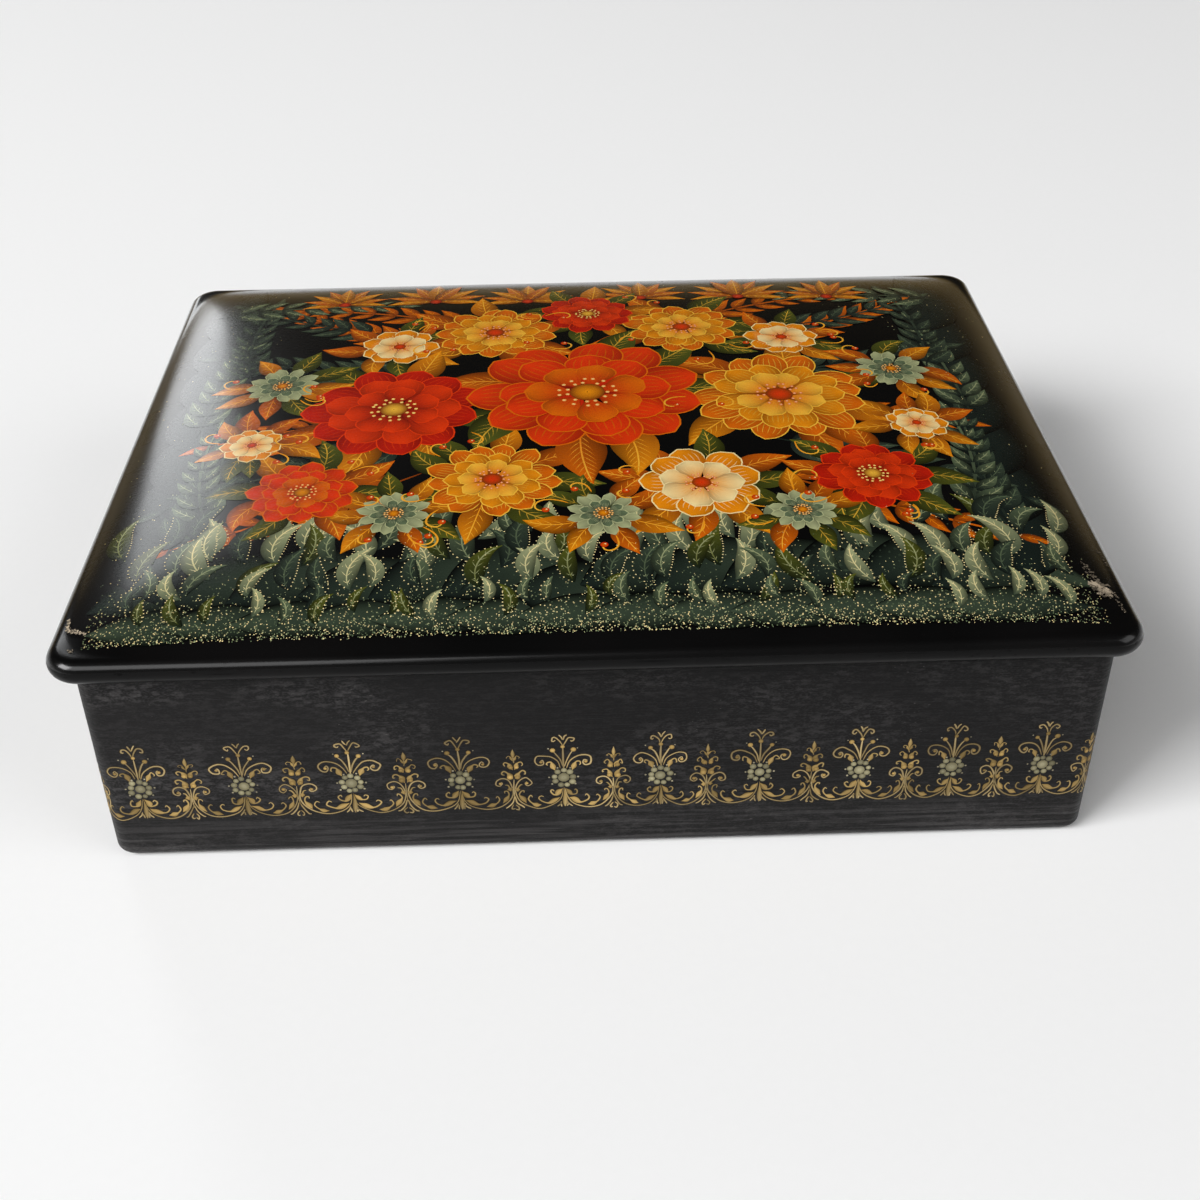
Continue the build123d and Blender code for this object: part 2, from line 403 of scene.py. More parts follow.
@dataclass(frozen=True)
class LaidPaint:
    """Egg paint or powdered gold laid in strokes, each stroke's colour kept at its points."""

    metallic: float = 0.0
    roughness: float = 0.4
    specular: float = 0.06
    coat: float = 0.95
    coat_index: float = 1.36
    coat_roughness: float = 0.17
    wear: float = 0.25
    grain: float = 1400.0
    thinned: Colour = (0.25, 0.23, 0.2)

    def build(self, name: str) -> bpy.types.Material:
        """Makes the material: the strokes' own colours with a brushed grain."""
        shader = Shader(name)
        laid = shader.add("ShaderNodeAttribute", {"attribute_name": PAINT_ATTRIBUTE}, {}, "Color")
        grain = shader.noise(self.grain, 3.0)
        thin = shader.noise(150.0, 3.0).band(0.4, 0.75) * self.wear
        shade = shader.mix(grain * 0.25 + thin, laid, self.thinned, "MULTIPLY")
        return shader.close({
            "Base Color": shade,
            "Metallic": self.metallic,
            "Roughness": self.roughness + 0.12 * grain,
            "Specular IOR Level": self.specular,
            "Coat Weight": self.coat,
            "Coat Roughness": self.coat_roughness,
            "Coat IOR": self.coat_index,
            "Normal": shader.peel(),
        })


@dataclass(frozen=True)
class PalePaper:
    """The studio floor: matt pale paper."""

    colour: Colour = swatch(246, 246, 246)
    tooth: float = 0.985
    roughness: float = 0.9
    specular: float = 0.1

    def build(self, name: str) -> bpy.types.Material:
        """Makes the material, with a barely visible tooth."""
        shader = Shader(name)
        darker = tuple(self.tooth * level for level in self.colour)
        return shader.close({
            "Base Color": shader.mix(shader.noise(500.0, 2.0), self.colour, darker),
            "Roughness": self.roughness,
            "Specular IOR Level": self.specular,
        })


# Meshes

CORNER_STEPS = 10
SIDE_STEPS = 60
TINY = 1e-9
SHARP_ANGLE = math.radians(35)


def rounded_ring(half_x: float, half_y: float, radius: float) -> np.ndarray:
    """Points round a rounded rectangle, as many for every size.

    Args:
        half_x: Half its width.
        half_y: Half its depth.
        radius: Its corner radius.

    Returns:
        An array of points, counter-clockwise.
    """
    arcs = []
    for side_x, side_y, start in ((1, 1, 0), (-1, 1, 90), (-1, -1, 180), (1, -1, 270)):
        centre = np.array([side_x * (half_x - radius), side_y * (half_y - radius)])
        angles = np.radians(start + np.linspace(0, 90, CORNER_STEPS + 1))
        arcs.append(centre + radius * np.column_stack([np.cos(angles), np.sin(angles)]))
    steps = np.linspace(0, 1, SIDE_STEPS + 1)[1:-1, None]
    ring = []
    for arc, following in zip(arcs, arcs[1:] + arcs[:1]):
        ring += [arc, arc[-1] + (following[0] - arc[-1]) * steps]
    return np.vstack(ring)


@dataclass
class Loft:
    """Rings of equal count joined into one closed skin."""

    rings: list[np.ndarray] = field(default_factory=list)
    finishes: list[Face] = field(default_factory=list)

    def add(self, ring: np.ndarray, heights: np.ndarray | float, finish: Face) -> None:
        """Adds a ring.

        Args:
            ring: Its plan points.
            heights: One height, or one for each point.
            finish: The material number of the skin that leads to it.
        """
        levels = np.broadcast_to(np.asarray(heights, float), (len(ring),))
        self.rings.append(np.column_stack([ring, levels]))
        self.finishes.append(finish)

    def piece(self, name: str, materials: list, capped: bool = True) -> bpy.types.Object:
        """Joins the rings.

        Args:
            name: The piece's name.
            materials: Its materials, by their face numbers.
            capped: Whether the first and last rings are closed with a face; otherwise they are joined.

        Returns:
            The closed piece.
        """
        count = len(self.rings[0])
        faces, numbers = [], []
        last = len(self.rings) - 1 if capped else len(self.rings)
        for row in range(last):
            after = (row + 1) % len(self.rings)
            for j in range(count):
                k = (j + 1) % count
                faces.append((row * count + j, after * count + j, after * count + k, row * count + k))
                numbers.append(self.finishes[after])
        if capped:
            faces.append(tuple(range(count)))
            faces.append(tuple(reversed(range(last * count, (last + 1) * count))))
            numbers += [self.finishes[0], self.finishes[-1]]
        return mesh_object(name, np.vstack(self.rings), faces, materials, numbers)


def put(name: str, data: bpy.types.ID) -> bpy.types.Object:
    """Puts a mesh, lamp or camera into the scene."""
    thing = bpy.data.objects.new(name, data)
    bpy.context.scene.collection.objects.link(thing)
    return thing


def mesh_object(name: str, points: np.ndarray, faces: list, materials: list,
                numbers: list) -> bpy.types.Object:
    """Makes an object from points in millimetres.

    Args:
        name: The piece's name.
        points: Its points.
        faces: Its faces.
        materials: Its materials.
        numbers: Each face's material number.

    Returns:
        The new object, smooth apart from its sharp edges.
    """
    mesh = bpy.data.meshes.new(name)
    mesh.from_pydata((points * MM).tolist(), [], faces)
    for material in materials:
        mesh.materials.append(material)
    mesh.polygons.foreach_set("material_index", numbers)
    mesh.shade_smooth()
    mesh.set_sharp_from_angle(angle=SHARP_ANGLE)
    return put(name, mesh)


def carve(thing: bpy.types.Object, cutters: list[bpy.types.Object]) -> None:
    """Cuts solids out of a piece for good and removes the cutters.

    Args:
        thing: The piece to be cut.
        cutters: The solids to cut away.
    """
    for cutter in cutters:
        cut = thing.modifiers.new("recess", "BOOLEAN")
        cut.operation = "DIFFERENCE"
        cut.solver = "EXACT"
        cut.object = cutter
    evaluated = thing.evaluated_get(bpy.context.evaluated_depsgraph_get())
    carved = bpy.data.meshes.new_from_object(evaluated)
    thing.modifiers.clear()
    thing.data = carved
    carved.set_sharp_from_angle(angle=SHARP_ANGLE)
    for cutter in cutters:
        bpy.data.objects.remove(cutter)


def sizes_of(node: str) -> tuple[np.ndarray, np.ndarray]:
    """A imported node's lowest and highest corners in millimetres."""
    low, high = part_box(node)
    return np.array(low) / MM, np.array(high) / MM


@dataclass
class HingeSeats:
    """The recesses for the hinge leaves and knuckles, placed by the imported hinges."""

    leaf_depth: float = 0.85
    ease: float = 0.1
    knuckle_ease: float = 0.4
    steps: int = 32
    sides: tuple[str, str] = ("left", "right")

    def cutters(self) -> list[bpy.types.Object]:
        """Makes the solids that carve wall and lid alike: a box and a round bar for each hinge."""
        made = []
        for side in self.sides:
            low, high = sizes_of(f"hinge_{side}_body_leaf")
            axis = sum(sizes_of(f"hinge_{side}_pin")) / 2
            radius = (high[2] - low[2]) / 2 + self.knuckle_ease
            made.append(self.box(
                (low[0] - self.ease, low[1] - self.ease, axis[2] - self.leaf_depth),
                (high[0] + self.ease, axis[1], axis[2] + self.leaf_depth),
            ))
            made.append(self.bar(axis, radius, (high[0] - low[0]) / 2 + self.knuckle_ease))
        return made

    def box(self, low: Sequence[float], high: Sequence[float]) -> bpy.types.Object:
        """A closed box between two corners."""
        ring = np.array([(low[0], low[1]), (high[0], low[1]), (high[0], high[1]), (low[0], high[1])])
        loft = Loft()
        loft.add(ring, high[2], Face.OUTSIDE)
        loft.add(ring, low[2], Face.OUTSIDE)
        return loft.piece("cutter", [])

    def bar(self, centre: np.ndarray, radius: float, half_length: float) -> bpy.types.Object:
        """A closed round bar along X."""
        turns = np.linspace(0, 2 * math.pi, self.steps, endpoint=False)
        circle = np.column_stack([np.cos(turns), np.sin(turns)]) * radius
        ends = [np.column_stack([np.full(self.steps, x), circle]) for x in (half_length, -half_length)]
        points = np.vstack(ends) + centre
        loft = Loft([points[: self.steps], points[self.steps:]], [Face.OUTSIDE] * 2)
        return loft.piece("cutter", [])


# The lid


@dataclass
class Lid:
    """The pressed lid: a rounded edge, a pillow-shaped top and a hollow underside."""

    corner_radius: float = 6.5
    rim_thickness: float = 5.2
    foot_inset: float = 0.5
    foot_rise: float = 4.353
    shoulder_rise: float = 4.9
    shoulder_length: float = 9.0
    board: float = 4.0
    hollow_inset: float = 9.6
    hollow_radius: float = 3.0
    hollow_round: float = 1.4
    seat_round: float = 0.5
    edge_steps: int = 22
    edge_start: float = 62.0
    rubbed_from: float = 15.0
    melt: float = 0.04
    corner_growth: float = 0.9
    roundest: float = 0.98
    core: float = 0.5
    top_rings: int = 36
    crowding: float = 2.2
    innermost: float = 0.995
    slope_step: float = 0.05

    def __post_init__(self) -> None:
        """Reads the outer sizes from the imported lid."""
        low, high = sizes_of("lid_board")
        self.half = (high[:2] - low[:2]) / 2
        self.seat = float(low[2])
        self.foot = self.seat + self.foot_rise
        self.crown_rise = float(high[2]) - self.foot - self.shoulder_rise
        self.dome_half = self.half - self.foot_inset
        self.edge = self.rim_thickness / 2
        self.edge_inset = self.edge * (1 - math.cos(math.radians(self.edge_start)))

    def height(self, x: np.ndarray, y: np.ndarray) -> np.ndarray:
        """Height of the top over points of the plan: the dome, run softly into the rounded edge."""
        edge_x = 1 - np.exp(-(self.dome_half[0] - np.abs(x)) / self.shoulder_length)
        edge_y = 1 - np.exp(-(self.dome_half[1] - np.abs(y)) / self.shoulder_length)
        crown = (1 - (x / self.dome_half[0]) ** 2) * (1 - (y / self.dome_half[1]) ** 2)
        dome = self.foot + self.shoulder_rise * edge_x * edge_y + self.crown_rise * crown
        short = np.clip(self.edge - self.within(x, y), 0, self.edge)
        rim = self.seat + self.edge + np.sqrt(self.edge ** 2 - short ** 2)
        return np.maximum(dome, rim) + self.melt * np.log1p(np.exp(-np.abs(dome - rim) / self.melt))

    def within(self, x: np.ndarray, y: np.ndarray) -> np.ndarray:
        """How far points of the plan lie inside the lid's outline."""
        gaps = np.stack([self.half[0] - np.abs(x), self.half[1] - np.abs(y)])
        corner = self.corner_radius - np.linalg.norm(np.maximum(self.corner_radius - gaps, 0), axis=0)
        return np.where((gaps < self.corner_radius).all(axis=0), corner, gaps.min(axis=0))

    def normal(self, x: np.ndarray, y: np.ndarray) -> np.ndarray:
        """Unit normals of the dome over points of the plan, from differences of its height."""
        step = self.slope_step
        slope_x = (self.height(x + step, y) - self.height(x - step, y)) / (2 * step)
        slope_y = (self.height(x, y + step) - self.height(x, y - step)) / (2 * step)
        normals = np.column_stack([-slope_x, -slope_y, np.ones_like(slope_x)])
        return normals / np.linalg.norm(normals, axis=1, keepdims=True)

    def ring(self, inset: float, hollow: bool = False) -> np.ndarray:
        """A plan ring of the top or of the hollow.

        Args:
            inset: How far it lies inside the lid's outline.
            hollow: Whether it belongs to the hollow.

        Returns:
            The ring, rounder the further in it lies.
        """
        core = self.core * self.half[1]
        if inset > core:
            return self.ring(core, hollow) * (self.half[1] - inset) / (self.half[1] - core)
        start = self.hollow_inset if hollow else self.edge_inset
        radius = self.hollow_radius if hollow else self.corner_radius - self.edge_inset
        radius += (inset - start) * (self.corner_growth if inset > start else -1)
        half_x, half_y = self.half - inset
        return rounded_ring(half_x, half_y, min(radius, self.roundest * half_y))

    def insets(self, start: float) -> np.ndarray:
        """Insets from start to the middle, closest together at the shoulder."""
        steps = np.linspace(0, 1, self.top_rings)
        return start + (self.innermost * self.half[1] - start) * steps ** self.crowding

    def build(self, gloss: bpy.types.Material, rubbed: bpy.types.Material,
              red: bpy.types.Material) -> bpy.types.Object:
        """Makes the lid's skin from its middle, over the edge and into the hollow.

        Args:
            gloss: The outside's finish.
            rubbed: The finish of the lower edge and the seat.
            red: The hollow's finish.

        Returns:
            The lid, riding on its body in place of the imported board.
        """
        loft = Loft()
        for inset in self.insets(self.edge_inset)[::-1]:
            ring = self.ring(inset)
            loft.add(ring, self.height(*ring.T), Face.OUTSIDE)
        for angle in np.radians(np.linspace(self.edge_start, -90, self.edge_steps)[1:]):
            inset = self.edge - self.edge * math.cos(angle)
            finish = Face.OUTSIDE if angle > math.radians(self.rubbed_from) else Face.RUBBED
            loft.add(self.ring(inset), self.seat + self.edge + self.edge * math.sin(angle), finish)
        loft.add(self.ring(self.hollow_inset - self.seat_round, True), self.seat, Face.RUBBED)
        loft.add(self.ring(self.hollow_inset, True), self.seat + self.seat_round, Face.INSIDE)
        for turn in np.radians((0, 45, 90)):
            inset = self.hollow_inset + self.hollow_round * (1 - math.cos(turn))
            ring = self.ring(inset, True)
            ceiling = self.height(*ring.T) - self.board
            loft.add(ring, ceiling - self.hollow_round * (1 - math.sin(turn)), Face.INSIDE)
        for inset in self.insets(self.hollow_inset + self.hollow_round)[1:]:
            ring = self.ring(inset, True)
            loft.add(ring, self.height(*ring.T) - self.board, Face.INSIDE)
        lid = loft.piece("domed_lid", [gloss, red, rubbed])
        carve(lid, HingeSeats().cutters())
        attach(lid, Body.LID.value)
        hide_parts("lid_board")
        return lid


# The body


@dataclass
class Walls:
    """The wound wall sleeve and the bottom board inside its foot."""

    wall: float = 6.0
    edge_radius: float = 3.5
    base_radius: float = 2.6
    inner_radius: float = 1.0
    rebate: float = 3.6
    lip_round: float = 0.5
    board_gap: float = 0.06
    arc_steps: int = 8

    def __post_init__(self) -> None:
        """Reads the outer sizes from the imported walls."""
        low, high = sizes_of("wall_sleeve")
        self.half = (high[:2] - low[:2]) / 2
        self.top = float(high[2])
        self.board_top = float(sizes_of("bottom_board")[1][2])

    def ring(self, inset: float) -> np.ndarray:
        """The plan ring at an inset from the outer face."""
        part = inset / self.wall
        radius = self.edge_radius + (self.inner_radius - self.edge_radius) * part
        return rounded_ring(*(self.half - inset), radius)

    def build(self, satin: bpy.types.Material, red: bpy.types.Material) -> list[bpy.types.Object]:
        """Makes the sleeve and the board.

        Args:
            satin: The outside's finish.
            red: The inside's finish.

        Returns:
            The two pieces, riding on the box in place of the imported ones.
        """
        lip, base = self.lip_round, self.base_radius
        loft = Loft()
        loft.add(self.ring(self.wall), self.board_top, Face.INSIDE)
        loft.add(self.ring(self.wall), self.top - lip, Face.INSIDE)
        loft.add(self.ring(self.wall - lip), self.top, Face.OUTSIDE)
        for turn in np.radians(np.linspace(90, 0, self.arc_steps // 2)):
            inset = lip - lip * math.cos(turn)
            loft.add(self.ring(inset), self.top - lip + lip * math.sin(turn), Face.OUTSIDE)
        for turn in np.radians(np.linspace(0, 90, self.arc_steps)):
            loft.add(self.ring(base - base * math.cos(turn)), base - base * math.sin(turn), Face.OUTSIDE)
        loft.add(self.ring(self.rebate), 0.0, Face.OUTSIDE)
        loft.add(self.ring(self.rebate), self.board_top, Face.OUTSIDE)
        sleeve = loft.piece("wound_walls", [satin, red], capped=False)
        carve(sleeve, HingeSeats().cutters())

        panel = Loft()
        rim = self.rebate + self.board_gap
        panel.add(self.ring(rim), self.board_top, Face.INSIDE)
        panel.add(self.ring(rim), 2 * self.board_gap, Face.OUTSIDE)
        panel.add(self.ring(rim + self.board_gap), 0.0, Face.OUTSIDE)
        board = panel.piece("bottom_panel", [satin, red])
        for piece, node in ((sleeve, "wall_sleeve"), (board, "bottom_board")):
            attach(piece, Body.BOX.value)
            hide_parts(node)
        return [sleeve, board]


# Brushwork


@dataclass(frozen=True)
class Shade:
    """The colour of a stroke: from its root to its tip, and from its middle to its edge."""

    root: Colour
    tip: Colour
    edge: float = 0.0
    lean: float = 0.0
    turn: float = 1.0

    def over(self, along: np.ndarray, across: np.ndarray) -> np.ndarray:
        """Colours over a stroke's grid.

        Args:
            along: Zero at the root and one at the tip, one for each row.
            across: From minus one to one, one for each column.

        Returns:
            An array of rows, columns and channels.
        """
        part = (along ** self.turn)[:, None, None]
        base = np.array(self.root) * (1 - part) + np.array(self.tip) * part
        light = 1 + self.lean * across - self.edge * across ** 2
        return base * light[None, :, None]


def through(points: Points, count: int) -> np.ndarray:
    """A smooth line through given points.

    Args:
        points: The points, in order.
        count: How many points the line has.

    Returns:
        Points along a Catmull-Rom curve, even in the curve's own measure.
    """
    knots = np.array(points, float)
    knots = np.vstack([2 * knots[0] - knots[1], knots, 2 * knots[-1] - knots[-2]])
    places = np.linspace(0, len(points) - 1, count)
    first = np.minimum(places.astype(int), len(points) - 2)
    t = (places - first)[:, None]
    a, b, c, d = (knots[first + k] for k in range(4))
    square = (2 * a - 5 * b + 4 * c - d) * t ** 2
    cube = (3 * b - a - 3 * c + d) * t ** 3
    return 0.5 * (2 * b + (c - a) * t + square + cube)


def bent(base: np.ndarray, heading: float, length: float, bend: float, count: int = 10,
         quicken: float = 1.0) -> np.ndarray:
    """A line that leaves a point on a heading and turns as it goes.

    Args:
        base: Its first point.
        heading: Its first direction, in radians.
        length: Its length.
        bend: How far it turns in all, in radians.
        count: How many points it has.
        quicken: One for an even turn, more for one that tightens.

    Returns:
        The points along it.
    """
    middles = (np.arange(count - 1) + 0.5) / (count - 1)
    angles = heading + bend * middles ** quicken
    steps = np.column_stack([np.cos(angles), np.sin(angles)]) * length / (count - 1)
    return np.vstack([base, base + np.cumsum(steps, axis=0)])


def pointing(angle: float) -> np.ndarray:
    """The unit step in a direction, in radians."""
    return np.array([math.cos(angle), math.sin(angle)])


def sideways(line: np.ndarray) -> np.ndarray:
    """Unit steps to the left of a line, one at each of its points."""
    tangent = np.gradient(line, axis=0)
    tangent /= np.maximum(np.linalg.norm(tangent, axis=1, keepdims=True), TINY)
    return np.column_stack([-tangent[:, 1], tangent[:, 0]])


class Swell(Enum):
    """How the width of a stroke changes from its root to its tip."""

    LINE = "line"
    LEAF = "leaf"
    PETAL = "petal"
    COMMA = "comma"
    DROP = "drop"

    def widths(self, count: int) -> np.ndarray:
        """Shares of the full width, one for each row."""
        t = np.linspace(0, 1, count)
        shapes = {
            Swell.LINE: np.clip(np.sin(np.pi * t), 0, 1) ** 0.25,
            Swell.LEAF: np.sin(np.pi * t ** 0.8) ** 1.1,
            Swell.PETAL: np.sin(np.pi * np.clip(t, 0, 1) ** 1.6) ** 0.62 * (0.35 + 0.65 * t ** 0.5),
            Swell.COMMA: np.maximum(np.exp(-((t - 0.2) / 0.15) ** 2), 0.24) * np.sin(np.pi * t) ** 0.3,
            Swell.DROP: np.sin(np.pi * t ** 1.8) ** 0.8,
        }
        return np.maximum(shapes[self], 0.02)


class Ground:
    """A surface that takes paint, with its own flat coordinates."""

    def place(self, flat: np.ndarray) -> tuple[np.ndarray, np.ndarray]:
        """Points and unit normals of the surface at flat coordinates."""
        raise NotImplementedError

    def ease(self, flat: np.ndarray) -> np.ndarray:
        """Shares of the full lift that keep strokes clear of each other there."""
        return np.ones(len(flat))


@dataclass
class DomeGround(Ground):
    """The lid's dome, painted as it is seen from above."""

    lid: Lid
    full_until: float = 6.0
    fade: float = 8.0
    least: float = 0.3

    def place(self, flat: np.ndarray) -> tuple[np.ndarray, np.ndarray]:
        """Points and unit normals of the dome over its plan."""
        x, y = flat.T
        return np.column_stack([flat, self.lid.height(x, y)]), self.lid.normal(x, y)

    def ease(self, flat: np.ndarray) -> np.ndarray:
        """Full lift on the bent shoulders and less on the flatter middle."""
        inside = (self.lid.half - np.abs(flat)).min(axis=1)
        return self.least + (1 - self.least) * np.exp(-np.maximum(inside - self.full_until, 0) / self.fade)


@dataclass
class WallGround(Ground):
    """One outer wall and the rounded edges at its ends, painted as it is seen from outside."""

    half_length: float
    distance: float
    radius: float
    turn: float

    def place(self, flat: np.ndarray) -> tuple[np.ndarray, np.ndarray]:
        """Points and unit normals for distances along the wall and heights."""
        along, height = flat.T
        straight = self.half_length - self.radius
        beyond = np.maximum(np.abs(along) - straight, 0)
        angle = np.minimum(beyond / self.radius, np.pi / 2)
        after = beyond - angle * self.radius
        side = np.sign(along)
        local_x = side * (np.minimum(np.abs(along), straight) + self.radius * np.sin(angle))
        local_y = self.radius - self.distance - self.radius * np.cos(angle) + after
        normal = np.column_stack([side * np.sin(angle), -np.cos(angle)])
        cosine, sine = math.cos(self.turn), math.sin(self.turn)
        spin = np.array([[cosine, sine], [-sine, cosine]])
        points = np.column_stack([np.column_stack([local_x, local_y]) @ spin, height])
        return points, np.column_stack([normal @ spin, np.zeros(len(flat))])


class Brushwork:
    """Strokes on one ground, gathered into one mesh, each laid over those under it."""

    CELL = 0.5
    LAYER = 0.006
    FIRST = 0.03
    DAB_REACH = np.array([1.0, 0.6, 0.04])
    ATLAS, TEXELS, GUTTER, INSET = 1400, 2, 2, 1.5

    def __init__(self, name: str, ground: Ground, half_extent: tuple[float, float],
                 under: "Brushwork | None" = None) -> None:
        """Starts with a bare ground.

        Args:
            name: The piece's name.
            ground: The surface that takes the paint.
            half_extent: Half the size of the flat area that may be painted.
            under: Brushwork that this one goes over.
        """
        self.name = name
        self.ground = ground
        self.half_extent = np.array(half_extent)
        cells = (2 * self.half_extent / self.CELL).astype(int) + 3
        self.depth = under.depth if under else np.zeros(cells)
        self.grids: list[tuple[np.ndarray, float, np.ndarray]] = []

    def _level(self, flat: np.ndarray) -> float:
        """Finds the layer that covers all that lies under a stroke, and takes it up.

        Args:
            flat: The stroke's grid of points.

        Returns:
            The layer, counted from the ground.
        """
        steps = [np.linalg.norm(np.diff(flat, axis=axis), axis=2).max() for axis in (0, 1)]
        for axis, step in enumerate(steps):
            finer = int(math.ceil(step / self.CELL))
            places = np.arange((flat.shape[axis] - 1) * finer + 1) / finer
            first = np.minimum(places.astype(int), flat.shape[axis] - 2)
            part = np.expand_dims(places - first, (1 - axis, 2))
            flat = np.take(flat, first, axis) * (1 - part) + np.take(flat, first + 1, axis) * part
        cells = ((flat.reshape(-1, 2) + self.half_extent) / self.CELL).astype(int)
        rows, columns = np.clip(cells, 0, np.array(self.depth.shape) - 1).T
        level = self.depth[rows, columns].max() + 1
        self.depth[rows, columns] = level
        return level

    def stroke(self, spine: np.ndarray, half_width: float, shade: Shade, swell: Swell = Swell.LINE,
               columns: int = 3, over: float | None = None) -> float:
        """Lays one stroke.

        Args:
            spine: The points along its middle.
            half_width: Half its greatest width.
            shade: Its colour.
            swell: How its width changes.
            columns: How many points it has across.
            over: The layer it goes on; without it, the stroke goes over all that is there.

        Returns:
            The layer it was laid on.
        """
        across = np.linspace(-1, 1, columns)
        widths = half_width * swell.widths(len(spine))
        offsets = widths[:, None, None] * across[None, :, None]
        flat = spine[:, None, :] + sideways(spine)[:, None, :] * offsets
        level = self._level(flat) if over is None else over
        colours = shade.over(np.linspace(0, 1, len(spine)), across)
        self.grids.append((flat, self.FIRST + level * self.LAYER, colours))
        return level

    def dab(self, centre: np.ndarray, radius: float | np.ndarray, shade: Shade, steps: int = 10,
            over: float | None = None) -> None:
        """Lays a round dab.

        Args:
            centre: Its middle.
            radius: Its radius, or one for each point of its rim.
            shade: Its colour, from the middle to the rim.
            steps: How many points it has round it.
            over: The layer it goes on; without it, the dab goes over all that is there.
        """
        turns = np.linspace(0, 2 * math.pi, steps + 1)
        rim = np.column_stack([np.cos(turns), np.sin(turns)]) * np.reshape(radius, (-1, 1))
        flat = np.asarray(centre)[None, None, :] + rim[:, None, :] * self.DAB_REACH[None, :, None]
        level = self._level(flat) if over is None else over
        tints = shade.over(self.DAB_REACH, np.zeros(1))[:, 0]
        colours = np.broadcast_to(tints[None], flat.shape[:2] + (3,))
        self.grids.append((flat, self.FIRST + level * self.LAYER, colours))

    def _atlas(self) -> list[tuple[float, float]]:
        """Gives each stroke its own rectangle of the bake map.

        Returns:
            The lower left corner of each stroke's rectangle, in map units.
        """
        order = sorted(range(len(self.grids)), key=lambda k: self.grids[k][0].shape[1])
        corners = [(0.0, 0.0)] * len(order)
        x = y = shelf = 0
        for k in order:
            width, height = (self.TEXELS * count + self.GUTTER for count in self.grids[k][0].shape[:2])
            if x + width > self.ATLAS:
                x, y, shelf = 0, y + shelf, 0
            corners[k] = (x + self.INSET, y + self.INSET)
            x += width
            shelf = max(shelf, height)
        self.atlas_height = y + shelf
        return corners

    def finish(self, material: bpy.types.Material, body: Body) -> bpy.types.Object:
        """Makes the strokes' mesh with their colours, normals and bake map.

        Args:
            material: The paint.
            body: The body that carries it.

        Returns:
            The painted piece.
        """
        points, normals, colours, places, faces = [], [], [], [], []
        first = 0
        corners = self._atlas()
        side = max(self.ATLAS, self.atlas_height)
        for (flat, lift, tint), corner in zip(self.grids, corners):
            rows, columns = flat.shape[:2]
            flat = flat.reshape(-1, 2)
            spot, upright = self.ground.place(flat)
            points.append(spot + upright * lift * self.ground.ease(flat)[:, None])
            normals.append(upright)
            colours.append(np.clip(tint.reshape(-1, 3), 0, 1))
            row, column = np.divmod(np.arange(rows * columns), columns)
            places.append((np.column_stack([row, column]) * self.TEXELS + corner) / side)
            index = first + np.arange(rows * columns).reshape(rows, columns)
            quads = np.stack([index[:-1, :-1], index[1:, :-1], index[1:, 1:], index[:-1, 1:]], axis=-1)
            faces.append(quads.reshape(-1, 4))
            first += rows * columns
        faces = np.vstack(faces)
        numbers = [Face.OUTSIDE] * len(faces)
        piece = mesh_object(self.name, np.vstack(points), faces.tolist(), [material], numbers)
        mesh = piece.data
        laid = mesh.color_attributes.new(PAINT_ATTRIBUTE, "FLOAT_COLOR", "POINT")
        laid.data.foreach_set("color", np.column_stack([np.vstack(colours), np.ones(first)]).ravel())
        bake_map = mesh.uv_layers.new(name=BAKE_MAP)
        bake_map.data.foreach_set("uv", np.vstack(places)[faces.ravel()].ravel())
        mesh.normals_split_custom_set_from_vertices(np.vstack(normals).tolist())
        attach(piece, body.value)
        return piece


# The gold frieze


class Gold(Enum):
    """The tones of the frieze, each from the root of a stroke to its tip."""

    # a dark brown laid a little wider under every gold stroke, so that each shows a brown outline
    SIZE = Shade(swatch(58, 42, 14), swatch(58, 42, 14))
    LINE = Shade(swatch(186, 162, 112), swatch(204, 182, 136))
    LEAF = Shade(swatch(200, 166, 100), swatch(208, 182, 126), 0.4, 0.14)
    SILVER = Shade(swatch(196, 190, 154), swatch(142, 134, 102))
    BEAD = Shade(swatch(204, 196, 170), swatch(170, 160, 132))
    BUD = Shade(swatch(224, 190, 118), swatch(168, 136, 78))


